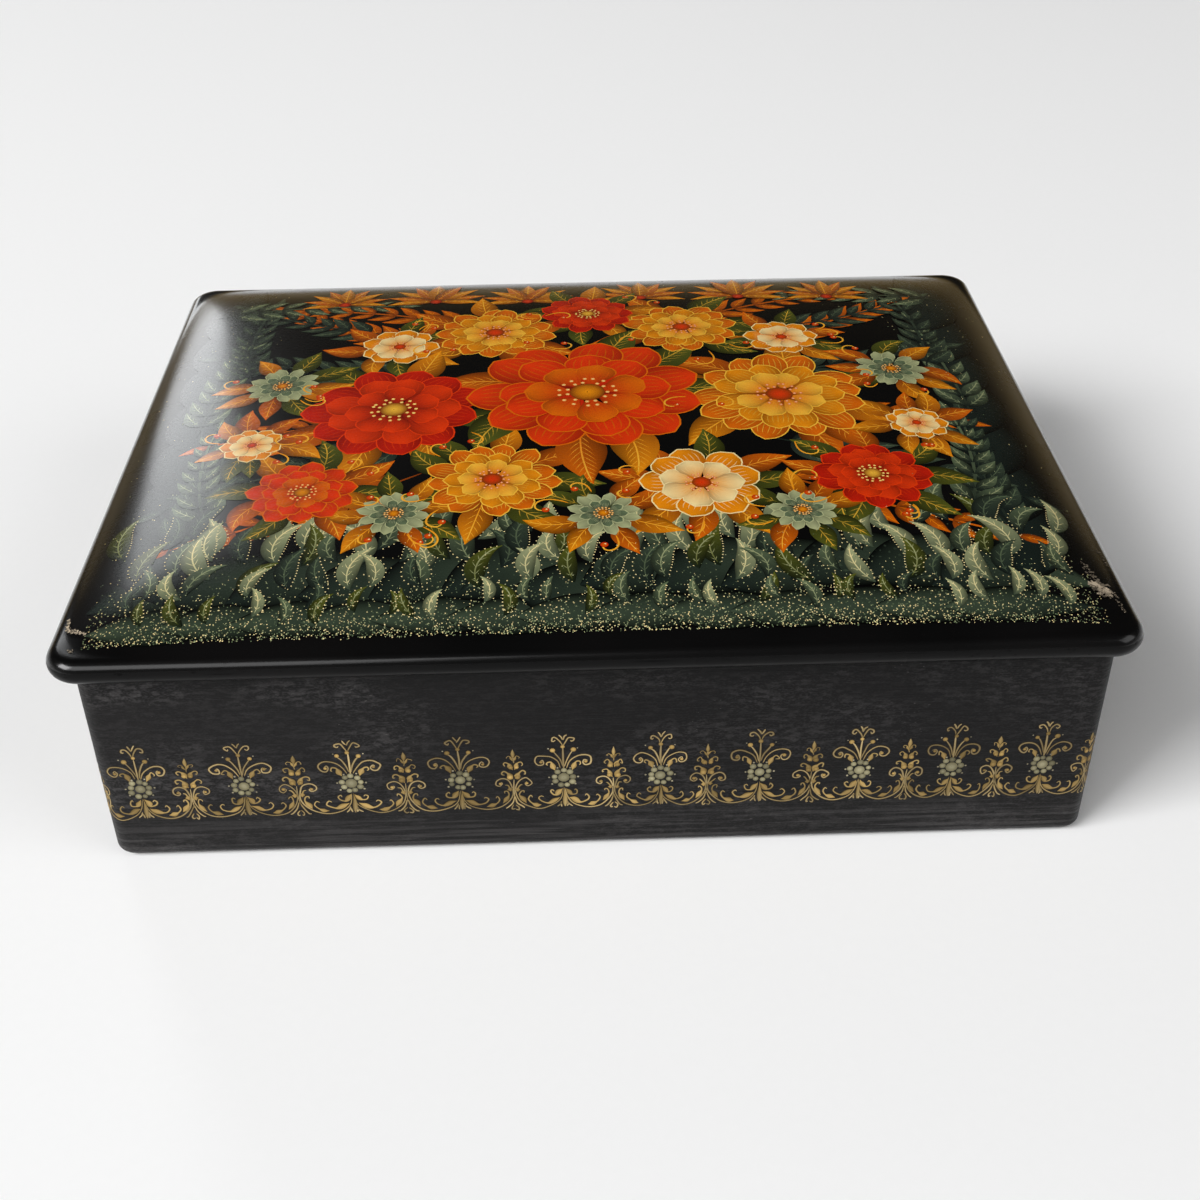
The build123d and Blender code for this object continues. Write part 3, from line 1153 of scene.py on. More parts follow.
@dataclass
class Frieze:
    """A gold border of palmettes and sprigs round the walls, drawn half and mirrored."""

    walls: Walls
    middle: float = 18.3
    rise: float = 1.07
    back_units: int = 10
    side_units: int = 8
    line: float = 0.14
    leaf: float = 0.62
    root: float = 0.4
    stalk: float = 0.1
    tip: float = 0.38
    bleed: float = 0.1
    unsteady: float = 0.07
    line_widths: tuple[float, float] = (0.85, 1.15)
    dab_sizes: tuple[float, float] = (0.85, 1.12)
    load: tuple[float, float] = (0.6, 1.2)
    strength: tuple[float, float] = (0.6, 1.0)
    paling: float = 0.25
    paling_from: float = 35.0
    paling_length: float = 60.0
    margin: float = 8.0
    seed: int = 1874

    PITCH = 19.2
    FRONT_MARKS = (-97.5, -78.6, -58.2, -37.3, -16.6, 2.6, 20.6, 40.8, 59.2, 76.6, 94.3)
    SIZE_LAYER, LINE_LAYER, LEAF_LAYER, DOT_LAYER = -1, 0, 1, 2

    SWAG = (
        (-0.1, -2.3), (-0.6, -4.8), (-2.0, -6.4), (-4.5, -7.25), (-6.8, -6.8), (-8.5, -5.4), (-9.35, -3.6),
        (-9.3, -1.9), (-8.6, -0.4), (-7.4, 0.15), (-6.4, -0.35), (-6.3, -1.3), (-7.0, -1.75), (-7.55, -1.2),
        (-7.2, -0.75),
    )
    VOLUTE = (
        (-0.5, 2.2), (-1.2, 3.8), (-2.4, 4.95), (-3.8, 5.35), (-5.0, 5.0), (-5.45, 4.1), (-5.0, 3.2),
        (-4.15, 3.05), (-3.7, 3.6), (-4.05, 4.2), (-4.55, 3.95),
    )
    CROWN = ((-0.1, 7.5), (-0.5, 8.5), (-1.2, 9.35), (-1.95, 9.25), (-2.1, 8.75), (-1.7, 8.5), (-1.45, 8.8))
    CROWN_TIP = ((-0.02, 8.9), (-0.3, 9.6), (-0.7, 10.1))
    BUD_STEM = ((-0.15, 2.6), (-0.6, 4.2), (-1.3, 5.6), (-1.95, 6.3))
    FOOT = ((-0.55, -5.6), (-0.85, -6.3), (-1.5, -7.0))
    FOOT_INNER = ((-0.62, -5.9), (-0.6, -6.5), (-0.45, -7.0))
    LINES = (SWAG, VOLUTE, CROWN, CROWN_TIP, BUD_STEM, FOOT, FOOT_INNER)
    STEM = ((0.05, 2.0), (0.0, 4.5), (-0.05, 7.2))
    ROOT = ((0.1, -2.2), (0.15, -4.6), (0.15, -7.1))
    LEAVES = (
        ((-1.6, 1.7), (-1.95, 2.7), (-2.4, 3.6), (-3.0, 3.75), (-3.3, 3.2), (-3.0, 2.95)),
        ((-0.3, -2.6), (-0.85, -3.3), (-1.5, -4.1), (-2.3, -3.95), (-2.6, -3.2), (-2.2, -2.8),
         (-1.95, -3.15)),
        ((-0.8, -4.75), (-1.8, -5.25), (-3.1, -5.9), (-4.3, -5.6), (-4.8, -4.8), (-4.4, -4.2),
         (-3.95, -4.5)),
        ((-4.4, -6.6), (-5.4, -6.4), (-6.4, -5.9), (-6.95, -5.0), (-6.6, -4.2), (-6.15, -4.5)),
        ((-7.4, -5.9), (-8.0, -5.0), (-8.6, -3.9), (-8.35, -3.0), (-7.85, -3.0), (-7.8, -3.4)),
        ((-9.0, -3.0), (-8.85, -2.2), (-8.5, -1.5), (-8.0, -1.35)),
    )
    # Each dab: its place, its radius and its gold
    SCROLL_ENDS = ((4.2, 3.75, 0.36, Gold.BUD), (7.1, -1.1, 0.36, Gold.BUD))
    CROWN_BUD = (0, 7.3, 0.42, Gold.BUD)
    BUDS = ((2.0, 6.5, 0.5, Gold.BUD), (2.85, 7.0, 0.15, Gold.BEAD))
    FLOWER_HEART = (0, 0, 1.08, Gold.SILVER)
    # Each ring of dabs: their angles, its half width and half height, their radius and their gold
    FLOWER_RINGS = (
        (range(10, 370, 40), 1.82, 1.74, 0.6, Gold.SILVER),
        ((4, 62, 118, 176, 215, 325), 2.75, 2.6, 0.2, Gold.BEAD),
    )
    SPRIG_STEMS = (((0, -4.8), (0, -2.5), (-0.03, -0.2)), ((0, 3.7), (0, 4.55), (-0.03, 5.4)))
    # Each leaf: half its width and its points
    SPRIG_LEAVES = (
        (0.62, ((-0.22, -0.1), (-0.6, 0.5), (-1.0, 1.3), (-1.65, 1.85), (-2.25, 1.6), (-2.2, 1.05),
                (-1.85, 1.1))),
        (0.54, ((-0.16, 2.2), (-0.55, 2.8), (-0.85, 3.5), (-1.35, 3.95), (-1.85, 3.65), (-1.75, 3.15),
                (-1.45, 3.25))),
        (0.3, ((-0.05, 4.2), (-0.3, 4.8), (-0.65, 5.3), (-1.1, 5.4), (-1.3, 5.05), (-1.05, 4.85))),
    )
    SPRIG_BUDS = ((0.72, 0.35, 0.56, Gold.BUD), (0.6, 2.7, 0.48, Gold.BUD))
    SPRIG_FOOT = ((-0.05, -4.2), (-0.5, -5.7), (-1.3, -6.8), (-1.9, -7.15))
    SPRIG_CURL = ((-0.15, -6.2), (-0.65, -6.9), (-0.5, -7.5), (-0.1, -7.3))
    SPRIG_TIP = ((0, 5.0), (0, 6.0), (0, 7.0))

    def build(self, gold: bpy.types.Material) -> list[bpy.types.Object]:
        """Paints the four walls, one piece each.

        Args:
            gold: The gold paint.

        Returns:
            The four painted borders.
        """
        half_x, half_y = self.walls.half
        radius = self.walls.edge_radius
        quarter = radius * math.pi / 2
        before = half_y - 2 * radius + quarter - (half_x + self.FRONT_MARKS[0])
        after = half_y - 2 * radius + quarter + half_x - self.FRONT_MARKS[-1]
        reach_x, reach_y = self.walls.half - radius + quarter / 2
        sides = (
            ("front", half_x, half_y, 0, np.array(self.FRONT_MARKS)),
            ("right", half_y, half_x, 90, np.linspace(-after, reach_y, self.side_units + 1)),
            ("back", half_x, half_y, 180, np.linspace(-reach_x, reach_x, self.back_units + 1)),
            ("left", half_y, half_x, 270, np.linspace(-reach_y, before, self.side_units + 1)),
        )
        pieces = []
        for number, (name, half_length, distance, turn, marks) in enumerate(sides):
            self.rng = np.random.default_rng(self.seed + number)
            ground = WallGround(half_length, distance, radius, math.radians(turn))
            extent = (half_length + self.margin, self.walls.top)
            self.work = Brushwork(f"gold_frieze_{name}", ground, extent)
            for mark, following in zip(marks[:-1], marks[1:]):
                for paint, place in ((self.palmette, (mark + following) / 2), (self.sprig, mark)):
                    pale = min(max(place - self.paling_from, 0) / self.paling_length, 1)
                    self.fade = self.rng.uniform(*self.strength) * (1 - self.paling * pale)
                    paint(place, (following - mark) / self.PITCH)
            pieces.append(self.work.finish(gold, Body.BOX))
        return pieces

    def draw(self, points: Points, at: float, stretch: float, half_width: float, tone: Gold,
             swell: Swell = Swell.LINE, mirrored: bool = True) -> None:
        """Draws one stroke and its mirror image with an unsteady hand, over a wider brown outline, leaves
        over lines.

        Args:
            points: Its points about the motif's middle.
            at: The motif's place along the wall.
            stretch: How far the motif is stretched along the wall.
            half_width: Half the stroke's width.
            tone: Its gold.
            swell: How its width changes.
            mirrored: Whether it has a mirror image.
        """
        count = 5 * len(points) + 3
        for side in (1, -1) if mirrored else (1,):
            shaken = np.array(points) + self.rng.normal(0, self.unsteady, (len(points), 2))
            line = through(shaken, count) * (side * stretch, self.rise) + (at, self.middle)
            width = half_width * self.rng.uniform(*self.line_widths)
            layer = self.LINE_LAYER if swell is Swell.LINE else self.LEAF_LAYER
            # a wider dark brown stroke under the gold, seen as its brown outline
            self.work.stroke(line, width + self.bleed, Gold.SIZE.value, swell, 2, over=self.SIZE_LAYER)
            self.work.stroke(line, width, self.faded(tone), swell, over=layer)

    def faded(self, tone: Gold) -> Shade:
        """One gold, here a little thinner or fuller."""
        fade = self.fade * self.rng.uniform(*self.load)
        shade = tone.value
        root, tip = (tuple(fade * level for level in colour) for colour in (shade.root, shade.tip))
        return Shade(root, tip, shade.edge, shade.lean)

    def spot(self, at: float, x: float, y: float, radius: float, tone: Gold) -> None:
        """Lays one round dab about the motif's middle.

        Args:
            at: The motif's place along the wall.
            x: The dab's place along the wall from the motif's middle.
            y: Its place up the wall from there.
            radius: Its radius.
            tone: Its gold.
        """
        shift = self.rng.normal(0, self.unsteady, 2)
        size = radius * self.rng.uniform(*self.dab_sizes)
        centre = np.array([at + x, self.middle + self.rise * y]) + shift
        self.work.dab(centre, size, self.faded(tone), over=self.DOT_LAYER)

    def pairs(self, spots: tuple, at: float, stretch: float = 1.0) -> None:
        """Lays dabs to the left of the motif's middle, then the same to its right."""
        for side in (-1, 1):
            for x, y, radius, tone in spots:
                self.spot(at, x * side * stretch, y, radius, tone)

    def palmette(self, at: float, stretch: float) -> None:
        """Paints one palmette: volutes and a crown over a beaded flower, and swags below it.

        Args:
            at: Its place along the wall.
            stretch: How far it is stretched along the wall.
        """
        for points in self.LINES:
            self.draw(points, at, stretch, self.line, Gold.LINE)
        self.draw(self.STEM, at, stretch, 1.2 * self.line, Gold.LINE, mirrored=False)
        for points in self.LEAVES:
            self.draw(points, at, stretch, self.leaf, Gold.LEAF, Swell.COMMA)
        self.draw(self.ROOT, at, stretch, self.root, Gold.LEAF, Swell.DROP, mirrored=False)
        self.pairs(self.SCROLL_ENDS, at, stretch)
        self.spot(at, *self.CROWN_BUD)
        self.pairs(self.BUDS, at)
        self.spot(at, *self.FLOWER_HEART)
        for turns, wide, high, radius, tone in self.FLOWER_RINGS:
            for turn in turns:
                x, y = (wide, high) * pointing(math.radians(turn))
                self.spot(at, x, y, radius, tone)

    def sprig(self, at: float, stretch: float) -> None:
        """Paints one sprig between two palmettes.

        Args:
            at: Its place along the wall.
            stretch: How far it is stretched along the wall.
        """
        for points in self.SPRIG_STEMS:
            self.draw(points, at, 1.0, self.stalk, Gold.LINE, mirrored=False)
        for half_width, points in self.SPRIG_LEAVES:
            self.draw(points, at, stretch, half_width, Gold.LEAF, Swell.COMMA)
        self.pairs(self.SPRIG_BUDS, at, stretch)
        for points in (self.SPRIG_FOOT, self.SPRIG_CURL):
            self.draw(points, at, stretch, self.line, Gold.LINE)
        self.draw(self.SPRIG_TIP, at, 1.0, self.tip, Gold.LEAF, Swell.LEAF, mirrored=False)


# The lid's painting


class Pigment(Enum):
    """The pigments of the flowers and leaves."""

    CRIMSON = swatch(118, 12, 6)
    SCARLET = swatch(188, 28, 6)
    VERMILION = swatch(222, 56, 8)
    ORANGE = swatch(216, 102, 6)
    AMBER = swatch(230, 140, 14)
    STRAW = swatch(240, 182, 58)
    CREAM = swatch(244, 222, 160)
    UMBER = swatch(124, 54, 6)
    OLIVE = swatch(40, 44, 12)
    FERN = swatch(88, 92, 28)
    PINE = swatch(18, 28, 18)
    DEEP = swatch(22, 31, 27)
    TEAL = swatch(58, 70, 54)
    SEA = swatch(96, 110, 80)
    MIST = swatch(170, 174, 128)

    def shade(self, tip: "Pigment | None" = None) -> Shade:
        """A shade from this pigment to another one at the tip, or of this one alone."""
        return Shade(self.value, (tip or self).value)


Tones = tuple[Pigment, Pigment, Pigment]


@dataclass(frozen=True)
class Bloom:
    """A kind of flower: the colours of its petals from root to tip, ring by ring, and its heart."""

    rings: tuple[tuple[Pigment, Pigment], ...]
    rim: Pigment
    heart: Pigment
    counts: tuple[int, ...] = (11, 9, 7)
    shares: tuple[float, ...] = (1.0, 0.74, 0.48)
    fullness: float = 0.98


class Flower(Enum):
    """The flowers of the garland."""

    ROSE = Bloom(((Pigment.CRIMSON, Pigment.VERMILION), (Pigment.SCARLET, Pigment.VERMILION),
                  (Pigment.SCARLET, Pigment.ORANGE)), Pigment.ORANGE, Pigment.AMBER)
    PEONY = Bloom(((Pigment.CRIMSON, Pigment.SCARLET), (Pigment.CRIMSON, Pigment.VERMILION),
                   (Pigment.CRIMSON, Pigment.VERMILION)), Pigment.VERMILION, Pigment.STRAW)
    MARIGOLD = Bloom(((Pigment.UMBER, Pigment.ORANGE), (Pigment.UMBER, Pigment.AMBER),
                      (Pigment.ORANGE, Pigment.STRAW)), Pigment.STRAW, Pigment.VERMILION, (13, 11, 8))
    PRIMROSE = Bloom(((Pigment.ORANGE, Pigment.AMBER), (Pigment.AMBER, Pigment.CREAM)),
                     Pigment.CREAM, Pigment.VERMILION, (9, 7), (1.0, 0.66))
    ASTER = Bloom(((Pigment.TEAL, Pigment.MIST), (Pigment.TEAL, Pigment.SEA)),
                  Pigment.MIST, Pigment.AMBER, (12, 9), (1.0, 0.62), 0.8)


@dataclass
class Garland:
    """A painted garland of flowers, leaves and gold dots that fills the dome."""

    lid: Lid
    reach: tuple[float, float] = (96.0, 75.6)
    petal_reach: tuple[float, float] = (0.84, 0.94)
    petal_root: float = 0.08
    petal_points: tuple[int, int] = (7, 18)
    heart: float = 0.15
    leaf_points: tuple[int, int] = (8, 26)
    stem: float = 0.34
    rib: float = 0.07
    bead: float = 0.15
    fan_foot: float = 57.0
    dot_sizes: tuple[float, float] = (0.07, 0.15)
    near_dots: int = 5400
    edge_dots: int = 600
    seed: int = 407

    LINE_OVER, RIB_OVER, RIM_OVER = 0.3, 0.5, 0.6
    PETAL_LINES = (-0.62, -0.32, 0.0, 0.32, 0.62)
    # Each ring of stamens: its share of the flower's radius and their number
    STAMENS = ((0.17, 11), (0.24, 15))
    COOL = (Pigment.DEEP, Pigment.TEAL, Pigment.SEA)
    PALE = (Pigment.DEEP, Pigment.SEA, Pigment.MIST)
    WARM = (Pigment.UMBER, Pigment.ORANGE, Pigment.AMBER)
    FOOT_TONES = (
        PALE, (Pigment.PINE, Pigment.FERN, Pigment.MIST), (Pigment.TEAL, Pigment.MIST, Pigment.CREAM), COOL,
    )
    # Each row of leaves: its place from front to back and their length
    FOOT_ROWS = ((-50, 15), (-57, 15), (-64, 13), (-70, 9))
    BACKING_TONES = (
        (Pigment.OLIVE, Pigment.FERN, Pigment.STRAW), (Pigment.UMBER, Pigment.ORANGE, Pigment.STRAW),
        (Pigment.UMBER, Pigment.AMBER, Pigment.STRAW),
    )
    STIPPLE_TINTS = (Pigment.MIST, Pigment.CREAM, Pigment.SEA)
    # Each fan: its place along the far edge and its size
    FANS = ((-58, 13), (-37, 15), (-13, 14), (14, 14), (38, 15), (60, 13))
    FAN_BLADES = 9
    # Each spray: its place, heading, length, bend, pairs of leaflets and colours
    SPRAYS = (
        (30, 26, 28, 52, 14, 8, WARM), (34, 14, 8, 52, 16, 8, COOL), (30, -4, -4, 50, -10, 9, WARM),
        (36, -16, -16, 54, -12, 8, COOL), (34, -26, -32, 52, 14, 8, WARM), (24, 40, 34, 44, -22, 7, WARM),
        (46, 38, 20, 42, 26, 7, COOL), (82, -52, 96, 48, -14, 8, COOL), (84, -6, 92, 46, 10, 8, PALE),
        (76, 14, 78, 44, 30, 7, COOL), (88, 58, 172, 44, 10, 7, PALE), (74, -44, 66, 40, 30, 7, PALE),
    )
    # Each flower: its kind, place and radius
    BLOSSOMS = (
        (Flower.MARIGOLD, -21, 37, 14.5), (Flower.MARIGOLD, 23, 38, 14), (Flower.PEONY, 1, 47, 11.5),
        (Flower.PRIMROSE, -43, 31, 9.5), (Flower.PRIMROSE, 46, 32, 9), (Flower.PEONY, -42, 0, 20),
        (Flower.MARIGOLD, 42, 3, 20), (Flower.MARIGOLD, -20, -30, 14), (Flower.PRIMROSE, 22, -33, 13),
        (Flower.ROSE, 0, 5, 26), (Flower.ROSE, -58, -32, 11.5), (Flower.PEONY, 57, -30, 12.5),
        (Flower.ASTER, -68, 14, 8.5), (Flower.ASTER, 69, 16, 8.5), (Flower.ASTER, -39, -41, 7.5),
        (Flower.ASTER, 2, -43, 7.5), (Flower.ASTER, 41, -43, 7), (Flower.PRIMROSE, -71, -12, 7),
        (Flower.PRIMROSE, 70, -9, 7),
    )

    def build(self, paint: bpy.types.Material) -> list[bpy.types.Object]:
        """Paints the dome from the back of the garland to its front.

        Args:
            paint: The paint, under the lid's lacquer.

        Returns:
            The painted pieces.
        """
        self.rng = np.random.default_rng(self.seed)
        ground = DomeGround(self.lid)
        half = tuple(self.lid.half)
        self.leaves = Brushwork("painted_leaves", ground, half)
        self.flowers = Brushwork("painted_flowers", ground, half, self.leaves)
        self.dots = Brushwork("painted_dots", ground, half, self.leaves)
        self.washes()
        self.side_sprays()
        self.top_fans()
        self.foot_leaves()
        self.backing_leaves()
        for flower, x, y, radius in self.BLOSSOMS:
            self.blossom(flower.value, np.array([x, y], float), radius)
        self.tendrils()
        self.stipple()
        return [work.finish(paint, Body.LID) for work in (self.leaves, self.flowers, self.dots)]

    def near(self, spread: float) -> float:
        """A small random departure."""
        return float(self.rng.normal(0, spread))

    def inside(self, points: np.ndarray) -> bool:
        """Whether points stay within the painted part of the dome."""
        return bool((np.abs(points) < self.reach).all())

    def petal(self, spine: np.ndarray, half_width: float, tones: tuple[Pigment, Pigment],
              rim: Pigment) -> None:
        """Paints one petal with its fine lines and a light rim.

        Args:
            spine: The points along its middle.
            half_width: Half its greatest width.
            tones: Its colours at the root and the tip.
            rim: The colour of its rim and lines.
        """
        root, tip = (tone.value for tone in tones)
        shade = Shade(root, tip, 0.3, 0.16 * self.rng.choice((-1, 1)), 0.9)
        level = self.flowers.stroke(spine, half_width, shade, Swell.PETAL, 7)
        edge = sideways(spine) * (half_width * Swell.PETAL.widths(len(spine)))[:, None]
        first, last = len(spine) // 4, len(spine) - 2
        hair = 0.008 * half_width + 0.06
        lined = Shade(root, rim.value, turn=1.4)
        for part in self.PETAL_LINES:
            start = first + self.rng.integers(0, 2)
            line = (spine + part * edge)[start:last]
            self.flowers.stroke(line, hair, lined, columns=2, over=level + self.LINE_OVER)
        start = len(spine) // 2
        rim_line = np.vstack([(spine - 0.97 * edge)[start:], (spine + 0.97 * edge)[start:][::-1]])
        rim_width = 0.012 * half_width + 0.11
        self.flowers.stroke(rim_line, rim_width, rim.shade(), columns=2, over=level + self.RIM_OVER)

    def blossom(self, bloom: Bloom, centre: np.ndarray, radius: float) -> None:
        """Paints one open flower from its outer petals to its heart.

        Args:
            bloom: Its kind.
            centre: Its middle.
            radius: Its radius.
        """
        for tones, count, share in zip(bloom.rings, bloom.counts, bloom.shares):
            turn = self.rng.uniform(0, 2 * math.pi)
            for k in self.rng.permutation(count):
                heading = turn + 2 * math.pi * k / count + self.near(0.05)
                length = share * radius * self.rng.uniform(*self.petal_reach)
                base = centre + self.petal_root * radius * pointing(heading)
                points = int(np.clip(length, *self.petal_points))
                spine = bent(base, heading, length, self.near(0.18), points)
                width = bloom.fullness * share * radius * math.sin(math.pi / count)
                self.petal(spine, width, tones, bloom.rim)
        heart = Shade(bloom.heart.value, Pigment.UMBER.value, turn=1.5)
        self.flowers.dab(centre, self.heart * radius, heart, 14)
        for ring, count in self.STAMENS:
            for k in range(count):
                turn = 2 * math.pi * k / count + self.near(0.08)
                place = centre + ring * radius * pointing(turn)
                self.flowers.dab(place, 0.016 * radius + 0.12, Pigment.CREAM.shade(bloom.heart), 6)

    def leaf(self, base: np.ndarray, heading: float, length: float, bend: float, tones: Tones,
             share: float = 0.19, beaded: bool = False) -> None:
        """Paints one leaf with its midrib and veins.

        Args:
            base: Its root.
            heading: Its direction there, in radians.
            length: Its length.
            bend: How far it turns.
            tones: Its colours at the root, at the tip and in its veins.
            share: Half its width over its length.
            beaded: Whether pale dots follow one of its edges.
        """
        count = int(np.clip(1.1 * length, *self.leaf_points))
        spine = bent(base, heading, length, bend, count)
        if not self.inside(spine):
            return
        root, tip, vein = tones
        side = self.rng.choice((-1, 1))
        blade = Shade(root.value, tip.value, 0.35, 0.3 * side, 1.2)
        level = self.leaves.stroke(spine, share * length, blade, Swell.LEAF, 5)
        midrib = 0.006 * length + 0.05
        self.leaves.stroke(spine[1:-1], midrib, tip.shade(vein), columns=2, over=level + self.LINE_OVER)
        widths = share * length * Swell.LEAF.widths(count)
        turns = heading + bend * np.linspace(0, 1, count)
        for k in range(2, count - 2, 2):
            for way in (-1, 1):
                rib = bent(spine[k], turns[k] + way * 0.75, 0.95 * widths[k], -way * 0.3, 4)
                self.leaves.stroke(rib, self.rib, vein.shade(tip), columns=2, over=level + self.RIB_OVER)
        if beaded:
            for k in range(1, count - 1):
                place = spine[k] + 1.12 * widths[k] * pointing(turns[k] + side * math.pi / 2)
                self.dots.dab(place, self.bead, Pigment.CREAM.shade(), 6)

    def spray(self, base: Sequence[float], heading: float, length: float, bend: float, pairs: int,
              tones: Tones, leaflet: float = 0.24) -> None:
        """Paints a stem with pairs of leaflets that shorten towards its tip.

        Args:
            base: The stem's root.
            heading: Its direction there, in degrees.
            length: Its length.
            bend: How far it turns, in degrees.
            pairs: How many pairs of leaflets it has.
            tones: The leaflets' colours at the root, at the tip and in their veins.
            leaflet: The longest leaflet over the stem's length.
        """
        start, turn = math.radians(heading), math.radians(bend)
        stem = bent(np.array(base, float), start, length, turn, int(length) + 4)
        self.leaves.stroke(stem, self.stem, tones[0].shade(tones[1]))
        for k in range(pairs):
            part = (k + 1) / (pairs + 1)
            place = stem[int(part * (len(stem) - 1))]
            size = leaflet * length * (1 - 0.55 * part) * self.rng.uniform(0.9, 1.1)
            for way in (-1, 1):
                self.leaf(place, start + turn * part + way * 0.85, size, -way * 0.5, tones)
        self.leaf(stem[-1], start + turn, 0.6 * leaflet * length, 0.1, tones)

    def washes(self) -> None:
        """Lays dark green washes that fade into the black along the near edge and both ends."""
        deep, teal = Pigment.DEEP.value, Pigment.TEAL.value
        for x in np.arange(-78, 79, 13.0):
            left, middle, right = (self.near(spread) for spread in (1, 2, 1))
            line = through(((x - 16, left - 66), (x, middle - 60), (x + 16, right - 66)), 30)
            self.leaves.stroke(line, 8.0, Shade(deep, teal, 1.0), Swell.LEAF, 9)
            low = through(((x - 15, -71.8), (x, -71.0 + self.near(0.4)), (x + 15, -71.8)), 34)
            self.leaves.stroke(low, 4.2, Shade(teal, deep, 1.0), Swell.LEAF, 9)
        for way in (-1, 1):
            for y in np.arange(-48, 60, 17.0):
                line = through(((way * 80, y - 18), (way * 84, y), (way * 80, y + 18)), 32)
                self.leaves.stroke(line, 8.0, Shade(deep, deep, 1.0), Swell.LEAF, 9)

    def side_sprays(self) -> None:
        """Paints the green and golden sprays that reach out to both ends and the corners."""
        for way in (-1, 1):
            for x, y, heading, length, bend, pairs, tones in self.SPRAYS:
                turned = heading if way > 0 else 180 - heading
                place = (way * x + self.near(1.0), y + self.near(1.0))
                self.spray(place, turned + self.near(3), length, way * bend, pairs, tones)

    def top_fans(self) -> None:
        """Paints golden palmettes along the far edge."""
        for x, size in self.FANS:
            base = np.array([x + self.near(0.6), self.fan_foot + self.near(0.6)])
            for k in self.rng.permutation(self.FAN_BLADES):
                aside = k - self.FAN_BLADES // 2
                heading = math.radians(90 + aside * 21)
                length = size * (1 - 0.05 * abs(aside))
                tones = (Pigment.UMBER, Pigment.ORANGE if k % 2 else Pigment.AMBER, Pigment.STRAW)
                self.leaf(base, heading, length, 0.12 * aside, tones, 0.15)
            self.leaves.dab(base, 1.5, Pigment.VERMILION.shade(Pigment.CRIMSON), 12)

    def foot_leaves(self) -> None:
        """Paints curled grey-green leaves along the near edge and up its corners."""
        for row, (y, size) in enumerate(self.FOOT_ROWS):
            for x in np.arange(-88 + 2.5 * (row % 2), 89, 5.2):
                way = 1 if self.rng.random() < 0.5 else -1
                heading = math.radians(90 - way * (38 + self.near(14)))
                base = np.array([x + self.near(1.4), y + self.near(1.4)])
                length = size * self.rng.uniform(0.75, 1.1)
                tones = self.FOOT_TONES[self.rng.integers(0, len(self.FOOT_TONES))]
                self.leaf(base, heading, length, way * (1.5 + self.near(0.3)), tones, 0.15, True)

    def backing_leaves(self) -> None:
        """Paints green and golden leaves that look out from behind each flower."""
        for _, x, y, radius in self.BLOSSOMS:
            turn = self.rng.uniform(0, 2 * math.pi)
            for k in range(8):
                heading = turn + k * math.pi / 4 + self.near(0.15)
                base = (x, y) + 0.6 * radius * pointing(heading)
                tones = self.BACKING_TONES[self.rng.integers(0, len(self.BACKING_TONES))]
                self.leaf(base, heading, 0.5 * radius + 7 + self.near(1), self.near(0.5), tones, 0.24)

    def tendrils(self) -> None:
        """Paints gold tendrils with berries in the gaps."""
        for _, x, y, radius in self.BLOSSOMS:
            for _ in range(3):
                heading = self.rng.uniform(0, 2 * math.pi)
                base = (x, y) + 1.02 * radius * pointing(heading)
                curl = bent(base, heading, 9 + self.near(1.5), self.rng.choice((-1, 1)) * 4.2, 26, 2.2)
                if not self.inside(curl):
                    continue
                self.dots.stroke(curl, 0.2, Pigment.AMBER.shade(Pigment.STRAW))
                self.dots.dab(curl[-1], 0.8, Pigment.ORANGE.shade(Pigment.SCARLET), 10)
                self.dots.dab(curl[-1] + (0.2, 0.25), 0.2, Pigment.CREAM.shade(), 6)

    def stipple(self) -> None:
        """Sprinkles pale gold dots over the near edge and round the garland."""
        reach_x, reach_y = self.reach
        near = np.column_stack([self.rng.uniform(-1, 1, self.near_dots) * 0.97 * reach_x,
                                self.rng.exponential(5.5, self.near_dots) - reach_y + 0.3])
        turns = self.rng.uniform(0, 2 * math.pi, self.edge_dots)
        spread = self.rng.uniform(0.75, 1.0, self.edge_dots)
        oval = np.clip(1.2 * np.column_stack([np.cos(turns), np.sin(turns)]), -1, 1)
        for place in np.vstack([near, self.reach * oval * spread[:, None]]):
            if not self.inside(place):
                continue
            tint = self.STIPPLE_TINTS[self.rng.integers(0, len(self.STIPPLE_TINTS))]
            self.dots.dab(place, self.rng.uniform(*self.dot_sizes), tint.shade(), 6)


